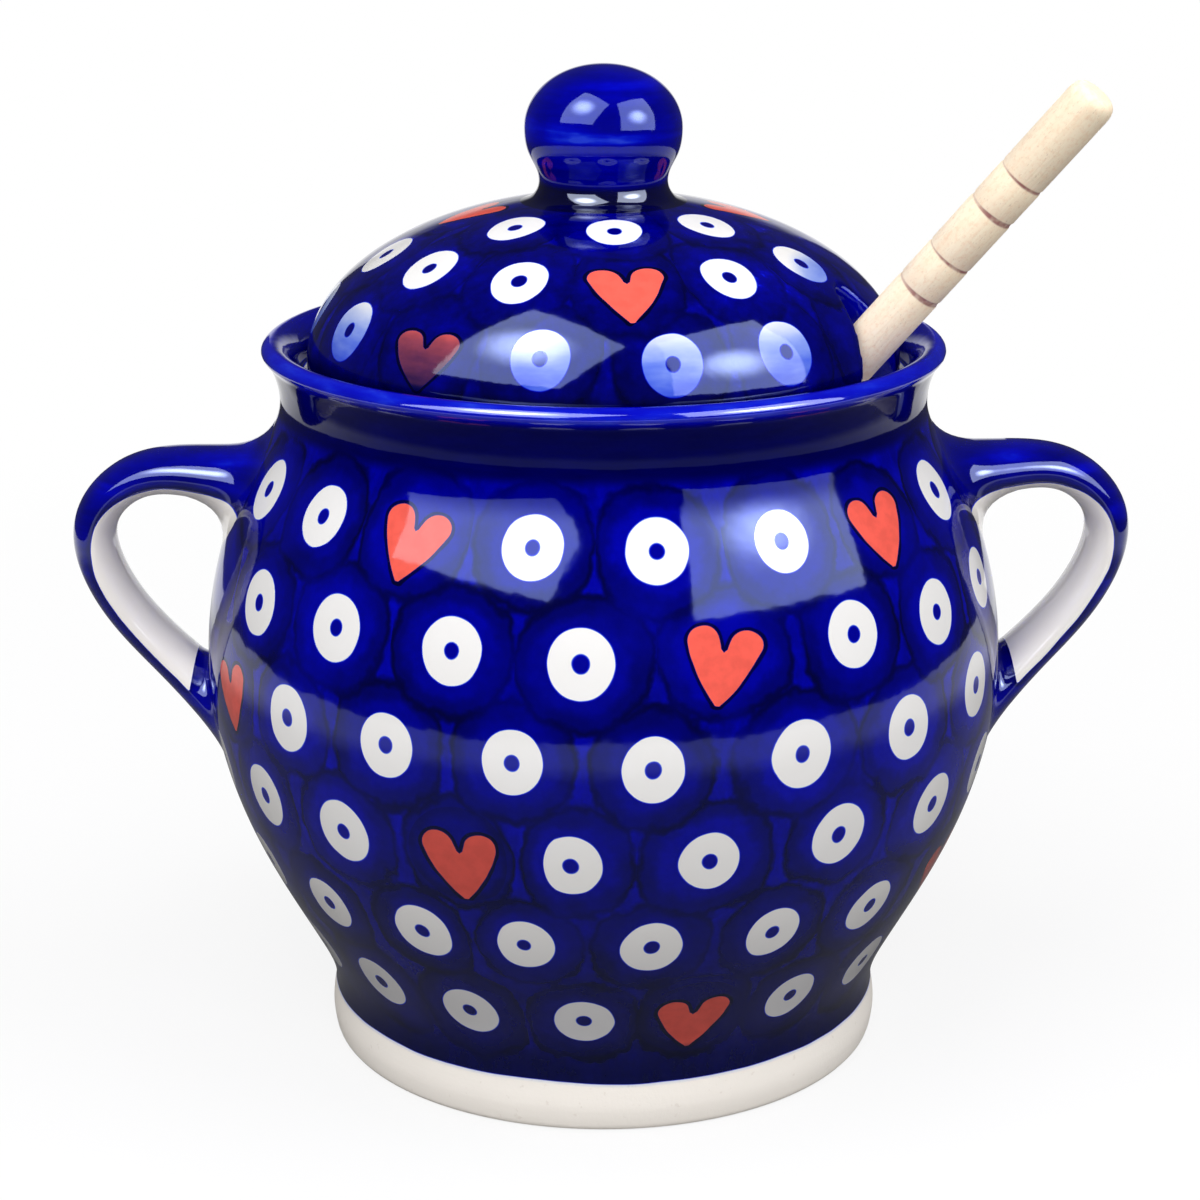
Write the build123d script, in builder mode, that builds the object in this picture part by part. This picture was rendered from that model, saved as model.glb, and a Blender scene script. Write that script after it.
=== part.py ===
"""Stoneware honey pot: a bellied two-handled pot, a loose domed lid with a ball knob, and a dipper.

The pot stands on its foot ring, with the origin in the middle of the foot, +Z up the pot's axis and
the two handles along X. The lid drops onto a ledge inside the mouth. A notch in its edge lets the
stick of a turned wooden honey dipper lean out over the rim. All sizes are in millimetres.
"""

import math
import os

from build123d import *

os.makedirs("parts", exist_ok=True)

# ---------------------------------------------------------------- pot
FOOT_R = 42.5          # outside of the foot ring, left bare of glaze
FOOT_H = 8.0           # straight part of the foot
FOOT_EDGE = 0.9        # rounding of the foot's outer bottom edge
RECESS_R = 36.0        # turned recess under the base
RECESS_H = 1.8
RECESS_SLOPE = 1.2
BELLY_R = 60.2
BELLY_Z = 57.0
NECK_R = 48.3
NECK_Z = 100.5
LIP_R = 50.8           # widest point of the rolled lip
LIP_Z = 108.3
RIM_TOP = 109.7
MOUTH_R = 47.4         # inner edge of the lip

LEDGE_Z = 104.5        # the lid's seat inside the mouth
LEDGE_OUT_R = 45.4
THROAT_R = 40.5        # opening inside the ledge, whose edge carries the leaning stick
WALL = 5.5             # at the belly
FLOOR_Z = 8.2

# ---------------------------------------------------------------- lid
LID_R = 44.1
SEAT_GAP = 0.1         # the lid's unglazed seat over the ledge
DOME_Z = 106.5         # height where the upright edge turns into the dome
DOME_RISE = 24.0
SHELL_RISE = 19.4      # rise of the dome's hollow underside
FLANGE_R = 39.4        # locating flange inside the throat
FLANGE_IN_R = 36.2
FLANGE_BOTTOM = 98.0
LID_EDGE = 0.7

# Notch in the lid's edge for the stick, measured square to the stick from its middle line.
NOTCH_TOP = 11.6       # where the two straight sides would meet, above the stick
NOTCH_FLARE = 24.3     # degrees that each side leans outwards
NOTCH_ROUND = 2.0      # rounded top of the notch
NOTCH_DEPTH = 13.0     # reach below the stick, past the flange
NOTCH_MID = 8.0        # height of the middle of the cut above the ledge
NOTCH_REACH = 16.0     # reach of the cut each way along the stick
NOTCH_EDGE = 0.6       # softened edges of the cut

# ---------------------------------------------------------------- knob
KNOB_FOOT_R = 12.4
KNOB_FOOT_Z = 129.75   # top of the smeared edge of the joint
KNOB_BASE_Z = 128.0    # trimmed away by the dome
KNOB_NECK_R = 9.5
KNOB_NECK_Z = 132.3
KNOB_R = 11.6
KNOB_MID_Z = 140.2
KNOB_TOP = 149.4
KNOB_SQUARENESS = 2.3  # 2 would be an ellipse
DOME_STEPS = 8         # points that each rounded outline is drawn through

# ---------------------------------------------------------------- dipper
STICK_R = 3.5
DIPPER_LEN = 170.7
DIPPER_LEAN = 40.35    # degrees from upright
DIPPER_TURN = -26.0    # azimuth of the notch and of the leaning stick, degrees from +X
DIPPER_TIP = (-37.53, 18.55)   # lower end, by the far wall: distance along the azimuth, and height
STICK_END = 1.3        # rounding of the stick's upper end
HEAD_R = 12.0
HEAD_FINS = 6          # discs of the beehive head
HEAD_FIN = 2.8         # thickness of each disc
HEAD_GAP = 2.6         # groove between two discs, which holds the honey
HEAD_HALF = 19.5       # half length of the egg that the discs fill
HEAD_CORE_R = 5.0
HEAD_NECK = 8.0        # taper from the last disc to the stick
FIN_EDGE = 0.8
RINGS = ((15.5, 0.5), (21.7, 0.9), (30.7, 0.5), (37.2, 0.9))   # burnt rings: distance from the end, width
RING_DEPTH = 0.3

# ---------------------------------------------------------------- handles
# Middle line of a handle, from inside the shoulder, out and round, to inside the belly: (x, z).
HANDLE_RUN = (
    (47.5, 90.0),
    (60.0, 90.7),
    (70.6, 89.0),
    (76.6, 82.2),
    (75.2, 72.2),
    (66.2, 60.2),
    (53.0, 46.5),
)
# Oval sections of the pulled strap along that line: (station 0..1, width, thickness).
HANDLE_OVALS = (
    (0.00, 20.0, 9.0),
    (0.12, 16.0, 7.4),
    (0.26, 13.0, 6.5),
    (0.45, 12.5, 6.4),
    (0.64, 12.6, 6.3),
    (0.80, 15.0, 6.5),
    (0.91, 20.0, 7.6),
    (1.00, 26.0, 9.0),
)

LID_SEAT_Z = LEDGE_Z + SEAT_GAP
HEAD_LEN = HEAD_FINS * HEAD_FIN + (HEAD_FINS - 1) * HEAD_GAP
LIP_UNDER = (LIP_R - 1.1, LIP_Z - 1.6)   # where the lip's roll starts


def pot_side():
    """Outer side of the pot from the top of the foot to the underside of the lip."""
    return Spline(
        (FOOT_R, FOOT_H),
        (46.1, 18.5),
        (54.6, 35.0),
        (BELLY_R, BELLY_Z),
        (57.9, 78.0),
        (52.4, 91.0),
        (NECK_R, NECK_Z),
        LIP_UNDER,
        tangents=((0, 1), (0.5, 1)),
    )


def quarter_dome(across, up, base_z, squareness=2.0):
    """Upright quarter of a dome, from its widest circle to its top; squareness 2 is an ellipse."""
    points = []
    for step in range(DOME_STEPS + 1):
        angle = math.pi / 2 * step / DOME_STEPS
        x = across * math.cos(angle) ** (2 / squareness) if step < DOME_STEPS else 0
        points.append((x, base_z + up * math.sin(angle) ** (2 / squareness)))
    return Spline(*points, tangents=((0, 1), (-1, 0)))


# The pot's outline filled solid, for trimming whatever is stuck onto it.
with BuildPart() as pot_blank:
    with BuildSketch(Plane.XZ):
        with BuildLine():
            side = pot_side()
            Polyline(side @ 1, (0, LIP_UNDER[1]), (0, 0), (FOOT_R, 0), side @ 0)
        make_face()
    revolve(axis=Axis.Z)

with BuildPart() as pot_body:
    with BuildSketch(Plane.XZ):
        with BuildLine():
            side = pot_side()
            lip = ThreePointArc(side @ 1, (LIP_R, LIP_Z), (LIP_R - 1.5, RIM_TOP))
            roll = TangentArc(lip @ 1, (MOUTH_R, RIM_TOP - 0.7), tangent=lip % 1)
            mouth = ThreePointArc(roll @ 1, (LEDGE_OUT_R + 0.6, LEDGE_Z + 2.6), (LEDGE_OUT_R, LEDGE_Z))
            ledge = Line(mouth @ 1, (THROAT_R, LEDGE_Z))
            throat = Line(ledge @ 1, (THROAT_R, NECK_Z))
            inside = Spline(
                throat @ 1,
                (46.6, 90.0),
                (52.4, 77.0),
                (BELLY_R - WALL, BELLY_Z),
                (49.2, 36.0),
                (40.4, 18.5),
                (28.0, FLOOR_Z + 0.6),
                (0, FLOOR_Z),
                tangents=((0, -1), (-1, 0)),
            )
            recess = Polyline(inside @ 1, (0, RECESS_H), (RECESS_R - RECESS_SLOPE, RECESS_H), (RECESS_R, 0))
            Polyline(recess @ 1, (FOOT_R, 0), side @ 0)
        make_face()
    revolve(axis=Axis.Z)
    foot_rings = pot_body.edges().filter_by(GeomType.CIRCLE).group_by(Axis.Z)[0]
    fillet(foot_rings.sort_by(SortBy.RADIUS)[-1], FOOT_EDGE)
pot_body.part.label = "pot_body"


def strap_handle(side):
    """A pulled strap handle, flared where it is luted on: side is -1 for the left, +1 for the right."""
    with BuildPart() as handle:
        with BuildLine(mode=Mode.PRIVATE) as run:
            Spline(*[(side * x, 0, z) for x, z in HANDLE_RUN])
        spine = run.edge()
        for station, width, thickness in HANDLE_OVALS:
            with BuildSketch(Plane(origin=spine @ station, x_dir=(0, 1, 0), z_dir=spine % station)):
                Ellipse(width / 2, thickness / 2)
        loft()
        add(pot_blank.part, mode=Mode.SUBTRACT)
    return handle.part


handle_left = strap_handle(-1)
handle_left.label = "handle_left"
handle_right = strap_handle(1)
handle_right.label = "handle_right"

# The dipper leans in the upright plane at DIPPER_TURN. Its own plane has z along the stick and
# x square to it, in the upright plane, pointing up and inwards.
turn = math.radians(DIPPER_TURN)
lean = math.radians(DIPPER_LEAN)
outward = Vector(math.cos(turn), math.sin(turn), 0)
stick_dir = outward * math.sin(lean) + Vector(0, 0, math.cos(lean))
stick_up = outward * -math.cos(lean) + Vector(0, 0, math.sin(lean))
tip_point = outward * DIPPER_TIP[0] + Vector(0, 0, DIPPER_TIP[1])
stick_axis = Axis(tip_point, stick_dir)
dipper_plane = Plane(origin=tip_point, x_dir=stick_up, z_dir=stick_dir)
# The same line seen from the side, for turning: x square to the stick, y along it.
turning_plane = Plane(origin=tip_point, x_dir=stick_up, z_dir=stick_up.cross(stick_dir))
# Square across the stick where it leaves the lid, with y pointing up and inwards.
notch_height = (LEDGE_Z + NOTCH_MID - DIPPER_TIP[1]) / math.cos(lean)
notch_middle = tip_point + stick_dir * notch_height
notch_plane = Plane(origin=notch_middle, x_dir=stick_up.cross(stick_dir), z_dir=stick_dir)


# The lid's dome filled solid, for seating the knob on it.
with BuildPart() as lid_blank:
    with BuildSketch(Plane.XZ):
        with BuildLine():
            dome = quarter_dome(LID_R, DOME_RISE, DOME_Z)
            Polyline(dome @ 1, (0, DOME_Z), dome @ 0)
        make_face()
    revolve(axis=Axis.Z)

with BuildPart() as lid:
    with BuildSketch(Plane.XZ):
        with BuildLine():
            dome = quarter_dome(LID_R, DOME_RISE, DOME_Z)
            hollow = quarter_dome(FLANGE_IN_R, SHELL_RISE, DOME_Z)
            Line(dome @ 1, hollow @ 1)
            Polyline(
                hollow @ 0,
                (FLANGE_IN_R, FLANGE_BOTTOM),
                (FLANGE_R, FLANGE_BOTTOM),
                (FLANGE_R, LID_SEAT_Z),
                (LID_R, LID_SEAT_Z),
                dome @ 0,
            )
        make_face()
    revolve(axis=Axis.Z)
    rings = lid.edges().filter_by(GeomType.CIRCLE)
    fillet(rings.group_by(Axis.Z)[0], LID_EDGE)
    fillet(rings.filter_by_position(Axis.Z, LID_SEAT_Z, LID_SEAT_Z).sort_by(SortBy.RADIUS)[-1], LID_EDGE)
    with BuildSketch(notch_plane):
        with BuildLine():
            reach = math.tan(math.radians(NOTCH_FLARE)) * (NOTCH_TOP + NOTCH_DEPTH)
            Polyline((-reach, -NOTCH_DEPTH), (0, NOTCH_TOP), (reach, -NOTCH_DEPTH), close=True)
        make_face()
        fillet(vertices().sort_by(Axis.Y)[-1], NOTCH_ROUND)
    extrude(amount=NOTCH_REACH, both=True, mode=Mode.SUBTRACT)
    # The cut leaves curved edges on the outside and the inside of the dome.
    cut_edges = lid.edges(Select.LAST).filter_by(GeomType.BSPLINE)
    fillet(cut_edges.filter_by(lambda edge: edge.length > 2 * NOTCH_ROUND), NOTCH_EDGE)
lid.part.label = "lid"

with BuildPart() as lid_knob:
    with BuildSketch(Plane.XZ):
        with BuildLine():
            Line((0, KNOB_BASE_Z), (KNOB_FOOT_R, KNOB_BASE_Z))
            foot = Line((KNOB_FOOT_R, KNOB_BASE_Z), (KNOB_FOOT_R, KNOB_FOOT_Z))
            neck_bottom = (KNOB_NECK_R + 1.15, KNOB_NECK_Z - 1.7)
            neck = ThreePointArc(foot @ 1, neck_bottom, (KNOB_NECK_R, KNOB_NECK_Z))
            ThreePointArc(neck @ 1, (KNOB_R - 0.5, KNOB_MID_Z - 3.8), (KNOB_R, KNOB_MID_Z))
            crown = quarter_dome(KNOB_R, KNOB_TOP - KNOB_MID_Z, KNOB_MID_Z, KNOB_SQUARENESS)
            Line(crown @ 1, (0, KNOB_BASE_Z))
        make_face()
    revolve(axis=Axis.Z)
    add(lid_blank.part, mode=Mode.SUBTRACT)
lid_knob.part.label = "lid_knob"

with BuildPart() as dipper:
    with BuildSketch(turning_plane):
        with BuildLine():
            base = Line((0, 0), (HEAD_CORE_R, 0))
            core = Line(base @ 1, (HEAD_CORE_R, HEAD_LEN))
            taper = Spline(core @ 1, (STICK_R, HEAD_LEN + HEAD_NECK), tangents=((0, 1), (0, 1)))
            Polyline(taper @ 1, (STICK_R, DIPPER_LEN), (0, DIPPER_LEN), (0, 0))
        make_face()
    revolve(axis=stick_axis)
    for fin in range(HEAD_FINS):
        start = fin * (HEAD_FIN + HEAD_GAP)
        off_middle = start + (HEAD_FIN - HEAD_LEN) / 2
        with BuildSketch(dipper_plane.offset(start)):
            Circle(HEAD_R * math.sqrt(1 - (off_middle / HEAD_HALF) ** 2))
        extrude(amount=HEAD_FIN)
    rims = dipper.edges().filter_by(GeomType.CIRCLE)
    fillet(rims.filter_by(lambda edge: edge.radius > HEAD_CORE_R + 1), FIN_EDGE)
    fillet(rims.sort_by(stick_axis)[-1], STICK_END)
    for from_end, width in RINGS:
        with BuildSketch(dipper_plane.offset(DIPPER_LEN - from_end - width / 2)):
            Circle(STICK_R + 1)
            Circle(STICK_R - RING_DEPTH, mode=Mode.SUBTRACT)
        extrude(amount=width, mode=Mode.SUBTRACT)
dipper.part.label = "dipper"

for part in (pot_body.part, handle_left, handle_right, lid.part, lid_knob.part, dipper.part):
    export_step(part, f"parts/{part.label}.step")
    print(part.label, round(part.volume), part.bounding_box())
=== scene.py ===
"""Looks of a stoneware honey pot.

It has a stamped jar, two strap handles, a lift-off lid and a beech dipper.

Sizes inside the classes are in millimetres; every mesh is in metres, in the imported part's frame.
"""

import logging
import math
from dataclasses import dataclass
from enum import Enum

import bmesh
import bpy
import numpy as np
from mathutils import Matrix, Vector
from mathutils.kdtree import KDTree


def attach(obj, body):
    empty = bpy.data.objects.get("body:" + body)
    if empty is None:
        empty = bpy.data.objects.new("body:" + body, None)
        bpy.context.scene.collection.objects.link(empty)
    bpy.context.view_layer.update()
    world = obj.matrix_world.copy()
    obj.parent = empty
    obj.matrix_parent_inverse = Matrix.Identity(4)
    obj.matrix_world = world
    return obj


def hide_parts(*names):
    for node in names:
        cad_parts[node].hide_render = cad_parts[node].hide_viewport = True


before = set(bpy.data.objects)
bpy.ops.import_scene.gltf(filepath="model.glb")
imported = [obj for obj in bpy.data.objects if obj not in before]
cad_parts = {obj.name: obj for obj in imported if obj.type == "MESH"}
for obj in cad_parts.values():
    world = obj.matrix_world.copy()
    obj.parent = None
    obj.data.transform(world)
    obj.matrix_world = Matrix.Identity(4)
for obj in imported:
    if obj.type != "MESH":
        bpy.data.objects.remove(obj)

LOG = logging.getLogger("honey_pot")
MM = 0.001


class Body(Enum):
    """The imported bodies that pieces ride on."""

    POT = "pot"
    COVER = "cover"
    DIPPER = "dipper"


# ---------------------------------------------------------------- lines


def smooth_line(
    points: list[tuple[float, ...]],
    step: float,
    start: tuple[float, ...] | None = None,
    end: tuple[float, ...] | None = None,
) -> np.ndarray:
    """Walks a cubic spline through points.

    Args:
        points: places that the line passes through.
        step: about how far apart the returned points are.
        start: direction at the first point, or None for a free end.
        end: direction at the last point, or None for a free end.

    Returns:
        The points of the line, one per row.
    """
    knots = np.asarray(points, float)
    spans = np.linalg.norm(np.diff(knots, axis=0), axis=1)
    at = np.concatenate(([0.0], np.cumsum(spans)))
    last = len(knots) - 1
    system = np.zeros((last + 1, last + 1))
    target = np.zeros_like(knots)
    for i in range(1, last):
        before, after = spans[i - 1], spans[i]
        system[i, i - 1 : i + 2] = after, 2 * (before + after), before
        rise = (
            after * (knots[i] - knots[i - 1]) / before + before * (knots[i + 1] - knots[i]) / after
        )
        target[i] = 3 * rise
    for row, inner, direction, span in ((0, 1, start, spans[0]), (last, last - 1, end, spans[-1])):
        if direction is None:
            system[row, row], system[row, inner] = 2, 1
            target[row] = 3 * (knots[max(row, inner)] - knots[min(row, inner)]) / span
        else:
            system[row, row] = 1
            target[row] = np.asarray(direction, float) / np.linalg.norm(direction)
    slopes = np.linalg.solve(system, target)
    along = np.linspace(0, at[-1], max(2, round(at[-1] / step) + 1))
    i = np.clip(np.searchsorted(at, along, side="right") - 1, 0, last - 1)
    u = ((along - at[i]) / spans[i])[:, None]
    span = spans[i][:, None]
    return (
        (1 + 2 * u) * (1 - u) ** 2 * knots[i]
        + u * (1 - u) ** 2 * span * slopes[i]
        + u * u * (3 - 2 * u) * knots[i + 1]
        + u * u * (u - 1) * span * slopes[i + 1]
    )


def eased(
    points: list[tuple[float, float]], ease: float | list[float], bends: int = 5
) -> np.ndarray:
    """Rounds the corners of a line of straight runs.

    Args:
        points: the corners, ends included.
        ease: how far from each corner its rounding starts, one for all or one per inner corner.
        bends: points in each rounding.

    Returns:
        The points of the eased line.
    """
    corners = np.asarray(points, float)
    eases = ease if isinstance(ease, list) else [ease] * (len(corners) - 2)
    line = [corners[0]]
    for before, corner, after, reach in zip(corners, corners[1:], corners[2:], eases):
        into, out = before - corner, after - corner
        first = corner + into * min(0.49, reach / np.linalg.norm(into))
        final = corner + out * min(0.49, reach / np.linalg.norm(out))
        for t in np.linspace(0, 1, bends):
            line.append((1 - t) ** 2 * first + 2 * t * (1 - t) * corner + t * t * final)
    line.append(corners[-1])
    return np.array(line)


def joined(*runs: np.ndarray) -> np.ndarray:
    """Lays runs end to end, with the points they share kept once.

    Args:
        runs: the runs, in order.

    Returns:
        The points of the whole line.
    """
    line = np.concatenate(runs)
    gaps = np.linalg.norm(np.diff(line, axis=0), axis=1)
    return line[np.concatenate(([True], gaps > 1e-4))]


def walked(line: np.ndarray) -> np.ndarray:
    """Distance walked along a line at each of its points."""
    return np.concatenate(([0.0], np.cumsum(np.linalg.norm(np.diff(line, axis=0), axis=1))))


def quarter_dome(
    across: float, up: float, base_z: float, steps: int, squareness: float = 2.0
) -> np.ndarray:
    """Upright quarter of a dome.

    Args:
        across: radius of its widest circle.
        up: its rise.
        base_z: height of the widest circle.
        steps: number of runs.
        squareness: 2 for an ellipse, more for a squarer shoulder.

    Returns:
        Points from the widest circle to the top.
    """
    angle = np.linspace(0, math.pi / 2, steps + 1)
    x = across * np.cos(angle) ** (2 / squareness)
    x[-1] = 0
    return np.column_stack((x, base_z + up * np.sin(angle) ** (2 / squareness)))


# ---------------------------------------------------------------- meshes


def turn_on_wheel(outline: np.ndarray, arc: np.ndarray, steps: int) -> bmesh.types.BMesh:
    """Turns an outline round the upright axis.

    Args:
        outline: radius and height of each point.
        arc: the number each point carries in the layer "arc".
        steps: how many wedges the turn has.

    Returns:
        The turned shape, with its poles closed and its faces outwards.
    """
    bm = bmesh.new()
    layer = bm.verts.layers.float.new("arc")
    line = []
    for (radius, height), value in zip(outline, arc):
        vert = bm.verts.new((radius * MM, 0, height * MM))
        vert[layer] = value
        line.append(vert)
    for first, second in zip(line, line[1:]):
        bm.edges.new((first, second))
    bmesh.ops.spin(
        bm,
        geom=bm.verts[:] + bm.edges[:],
        cent=(0, 0, 0),
        axis=(0, 0, 1),
        angle=math.tau,
        steps=steps,
        use_merge=True,
    )
    bmesh.ops.remove_doubles(bm, verts=bm.verts, dist=1e-7)
    bmesh.ops.recalc_face_normals(bm, faces=bm.faces)
    return bm


def mesh_of(bm: bmesh.types.BMesh, name: str) -> bpy.types.Mesh:
    """Writes a shape to a new mesh, and frees the shape.

    Args:
        bm: the shape.
        name: the mesh's name.

    Returns:
        The mesh.
    """
    mesh = bpy.data.meshes.new(name)
    bm.to_mesh(mesh)
    bm.free()
    return mesh


def put(name: str, data: bpy.types.ID) -> bpy.types.Object:
    """Puts a new object into the scene.

    Args:
        name: its name.
        data: its mesh, lamp or camera.

    Returns:
        The object.
    """
    thing = bpy.data.objects.new(name, data)
    bpy.context.scene.collection.objects.link(thing)
    return thing


def place_piece(
    name: str,
    shape: bmesh.types.BMesh | bpy.types.Mesh,
    finish: bpy.types.Material,
    body: Body,
    node: str,
) -> bpy.types.Object:
    """Makes a finished shape a piece of the pot.

    Args:
        name: the piece's name.
        shape: its mesh, in place.
        finish: its material.
        body: the body it rides on.
        node: the solid that it stands for.

    Returns:
        The piece.
    """
    mesh = mesh_of(shape, name) if isinstance(shape, bmesh.types.BMesh) else shape
    mesh.name = name
    mesh.materials.clear()
    mesh.materials.append(finish)
    mesh.shade_smooth()
    piece = put(name, mesh)
    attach(piece, body.value)
    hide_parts(node)
    LOG.info("%s: %d faces, rides on %s, stands for %s", name, len(mesh.polygons), body.value, node)
    return piece


def evaluated(piece: bpy.types.Object) -> bpy.types.Mesh:
    """Applies an object's modifiers.

    Args:
        piece: the object, which stays as it is.

    Returns:
        A new mesh with the modifiers applied.
    """
    bpy.context.view_layer.update()
    graph = bpy.context.evaluated_depsgraph_get()
    return bpy.data.meshes.new_from_object(piece.evaluated_get(graph))


def drop(*objects: bpy.types.Object) -> None:
    """Removes helper objects and their meshes.

    Args:
        objects: the helpers.
    """
    for helper in objects:
        mesh = helper.data
        bpy.data.objects.remove(helper)
        if mesh.users == 0:
            bpy.data.meshes.remove(mesh)


# ---------------------------------------------------------------- finishes


class Wire:
    """What one node gives out, which adds and multiplies like a plain number."""

    def __init__(self, graph: "Graph", socket: bpy.types.NodeSocket) -> None:
        """Remembers the graph and the socket that the number comes out of."""
        self.graph = graph
        self.socket = socket

    def __add__(self, other: "Wire | float") -> "Wire":
        """Sum."""
        return self.graph.math("ADD", self, other)

    __radd__ = __add__

    def __sub__(self, other: "Wire | float") -> "Wire":
        """Difference."""
        return self.graph.math("SUBTRACT", self, other)

    def __rsub__(self, other: "Wire | float") -> "Wire":
        """Difference, the other way round."""
        return self.graph.math("SUBTRACT", other, self)

    def __mul__(self, other: "Wire | float") -> "Wire":
        """Product."""
        return self.graph.math("MULTIPLY", self, other)

    __rmul__ = __mul__

    def __truediv__(self, other: "Wire | float") -> "Wire":
        """Quotient."""
        return self.graph.math("DIVIDE", self, other)


Number = Wire | float
Colour = tuple[float, float, float]


class Graph:
    """The node graph of a material or of the world."""

    def __init__(self, owner: bpy.types.Material | bpy.types.World) -> None:
        """Empties the owner's graph.

        Args:
            owner: whose graph it is.
        """
        owner.use_nodes = True
        self.tree = owner.node_tree
        self.tree.nodes.clear()

    def feed(self, socket: bpy.types.NodeSocket, value: "Number | Colour") -> None:
        """Links a wire to a socket, or writes a constant on it.

        Args:
            socket: the socket.
            value: the wire or the constant.
        """
        if isinstance(value, Wire):
            self.tree.links.new(value.socket, socket)
        elif isinstance(value, tuple) and len(value) == 3 and socket.type == "RGBA":
            socket.default_value = (*value, 1.0)
        else:
            socket.default_value = value

    def node(self, kind: str, *values: "Number | Colour", **settings: str) -> bpy.types.Node:
        """Adds a node.

        Args:
            kind: its type, without the leading ShaderNode.
            values: what its first sockets are fed.
            settings: its other properties.

        Returns:
            The node.
        """
        node = self.tree.nodes.new(f"ShaderNode{kind}")
        for name, value in settings.items():
            setattr(node, name, value)
        for socket, value in zip(node.inputs, values):
            self.feed(socket, value)
        return node

    def math(self, operation: str, *values: Number) -> Wire:
        """One Math node."""
        return Wire(self, self.node("Math", *values, operation=operation).outputs[0])

    def length(self, x: Number, y: Number) -> Wire:
        """Length of a flat vector."""
        squares = (self.math("MULTIPLY", side, side) for side in (x, y))
        return self.math("SQRT", self.math("ADD", *squares))

    def ramp(
        self,
        value: Wire,
        low: Number,
        high: Number,
        first: Number = 0.0,
        last: Number = 1.0,
        shape: str = "SMOOTHSTEP",
    ) -> Wire:
        """Soft step of a value.

        Args:
            value: what is measured.
            low: where the step starts.
            high: where it ends; below low for a falling step.
            first: result before the step.
            last: result after it.
            shape: how it goes from one to the other.

        Returns:
            The result.
        """
        node = self.node("MapRange", value, low, high, first, last, interpolation_type=shape)
        return Wire(self, node.outputs[0])

    def place(self) -> Wire:
        """Place on the object, in metres."""
        return Wire(self, self.node("TexCoord").outputs["Object"])

    def distance(self, first: Wire, last: tuple[float, float, float]) -> Wire:
        """Distance from one place to another."""
        node = self.node("VectorMath", first, last, operation="DISTANCE")
        return Wire(self, node.outputs["Value"])

    def parts(self, vector: Wire) -> tuple[Wire, Wire, Wire]:
        """The three numbers of a vector."""
        return tuple(Wire(self, socket) for socket in self.node("SeparateXYZ", vector).outputs)

    def between(self, share: Number, first: Number, last: Number) -> Wire:
        """Number between two others.

        Args:
            share: how far it is from the first to the last, 0 to 1.
            first: the number at 0.
            last: the number at 1.

        Returns:
            The number.
        """
        node = self.node("Mix", data_type="FLOAT")
        for index, value in ((0, share), (2, first), (3, last)):
            self.feed(node.inputs[index], value)
        return Wire(self, node.outputs[0])

    def ray(self, kind: str) -> Wire:
        """1 for one kind of ray, such as Camera, else 0."""
        return Wire(self, self.node("LightPath").outputs[f"Is {kind} Ray"])

    def shader(self, kind: str, *values: "Number | Colour") -> Wire:
        """One shader node, with what its first sockets are fed."""
        return Wire(self, self.node(kind, *values).outputs[0])

    def show(self, shader: Wire, output: str = "OutputMaterial") -> None:
        """Makes a shader the graph's result."""
        self.node(output, shader)


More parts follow.
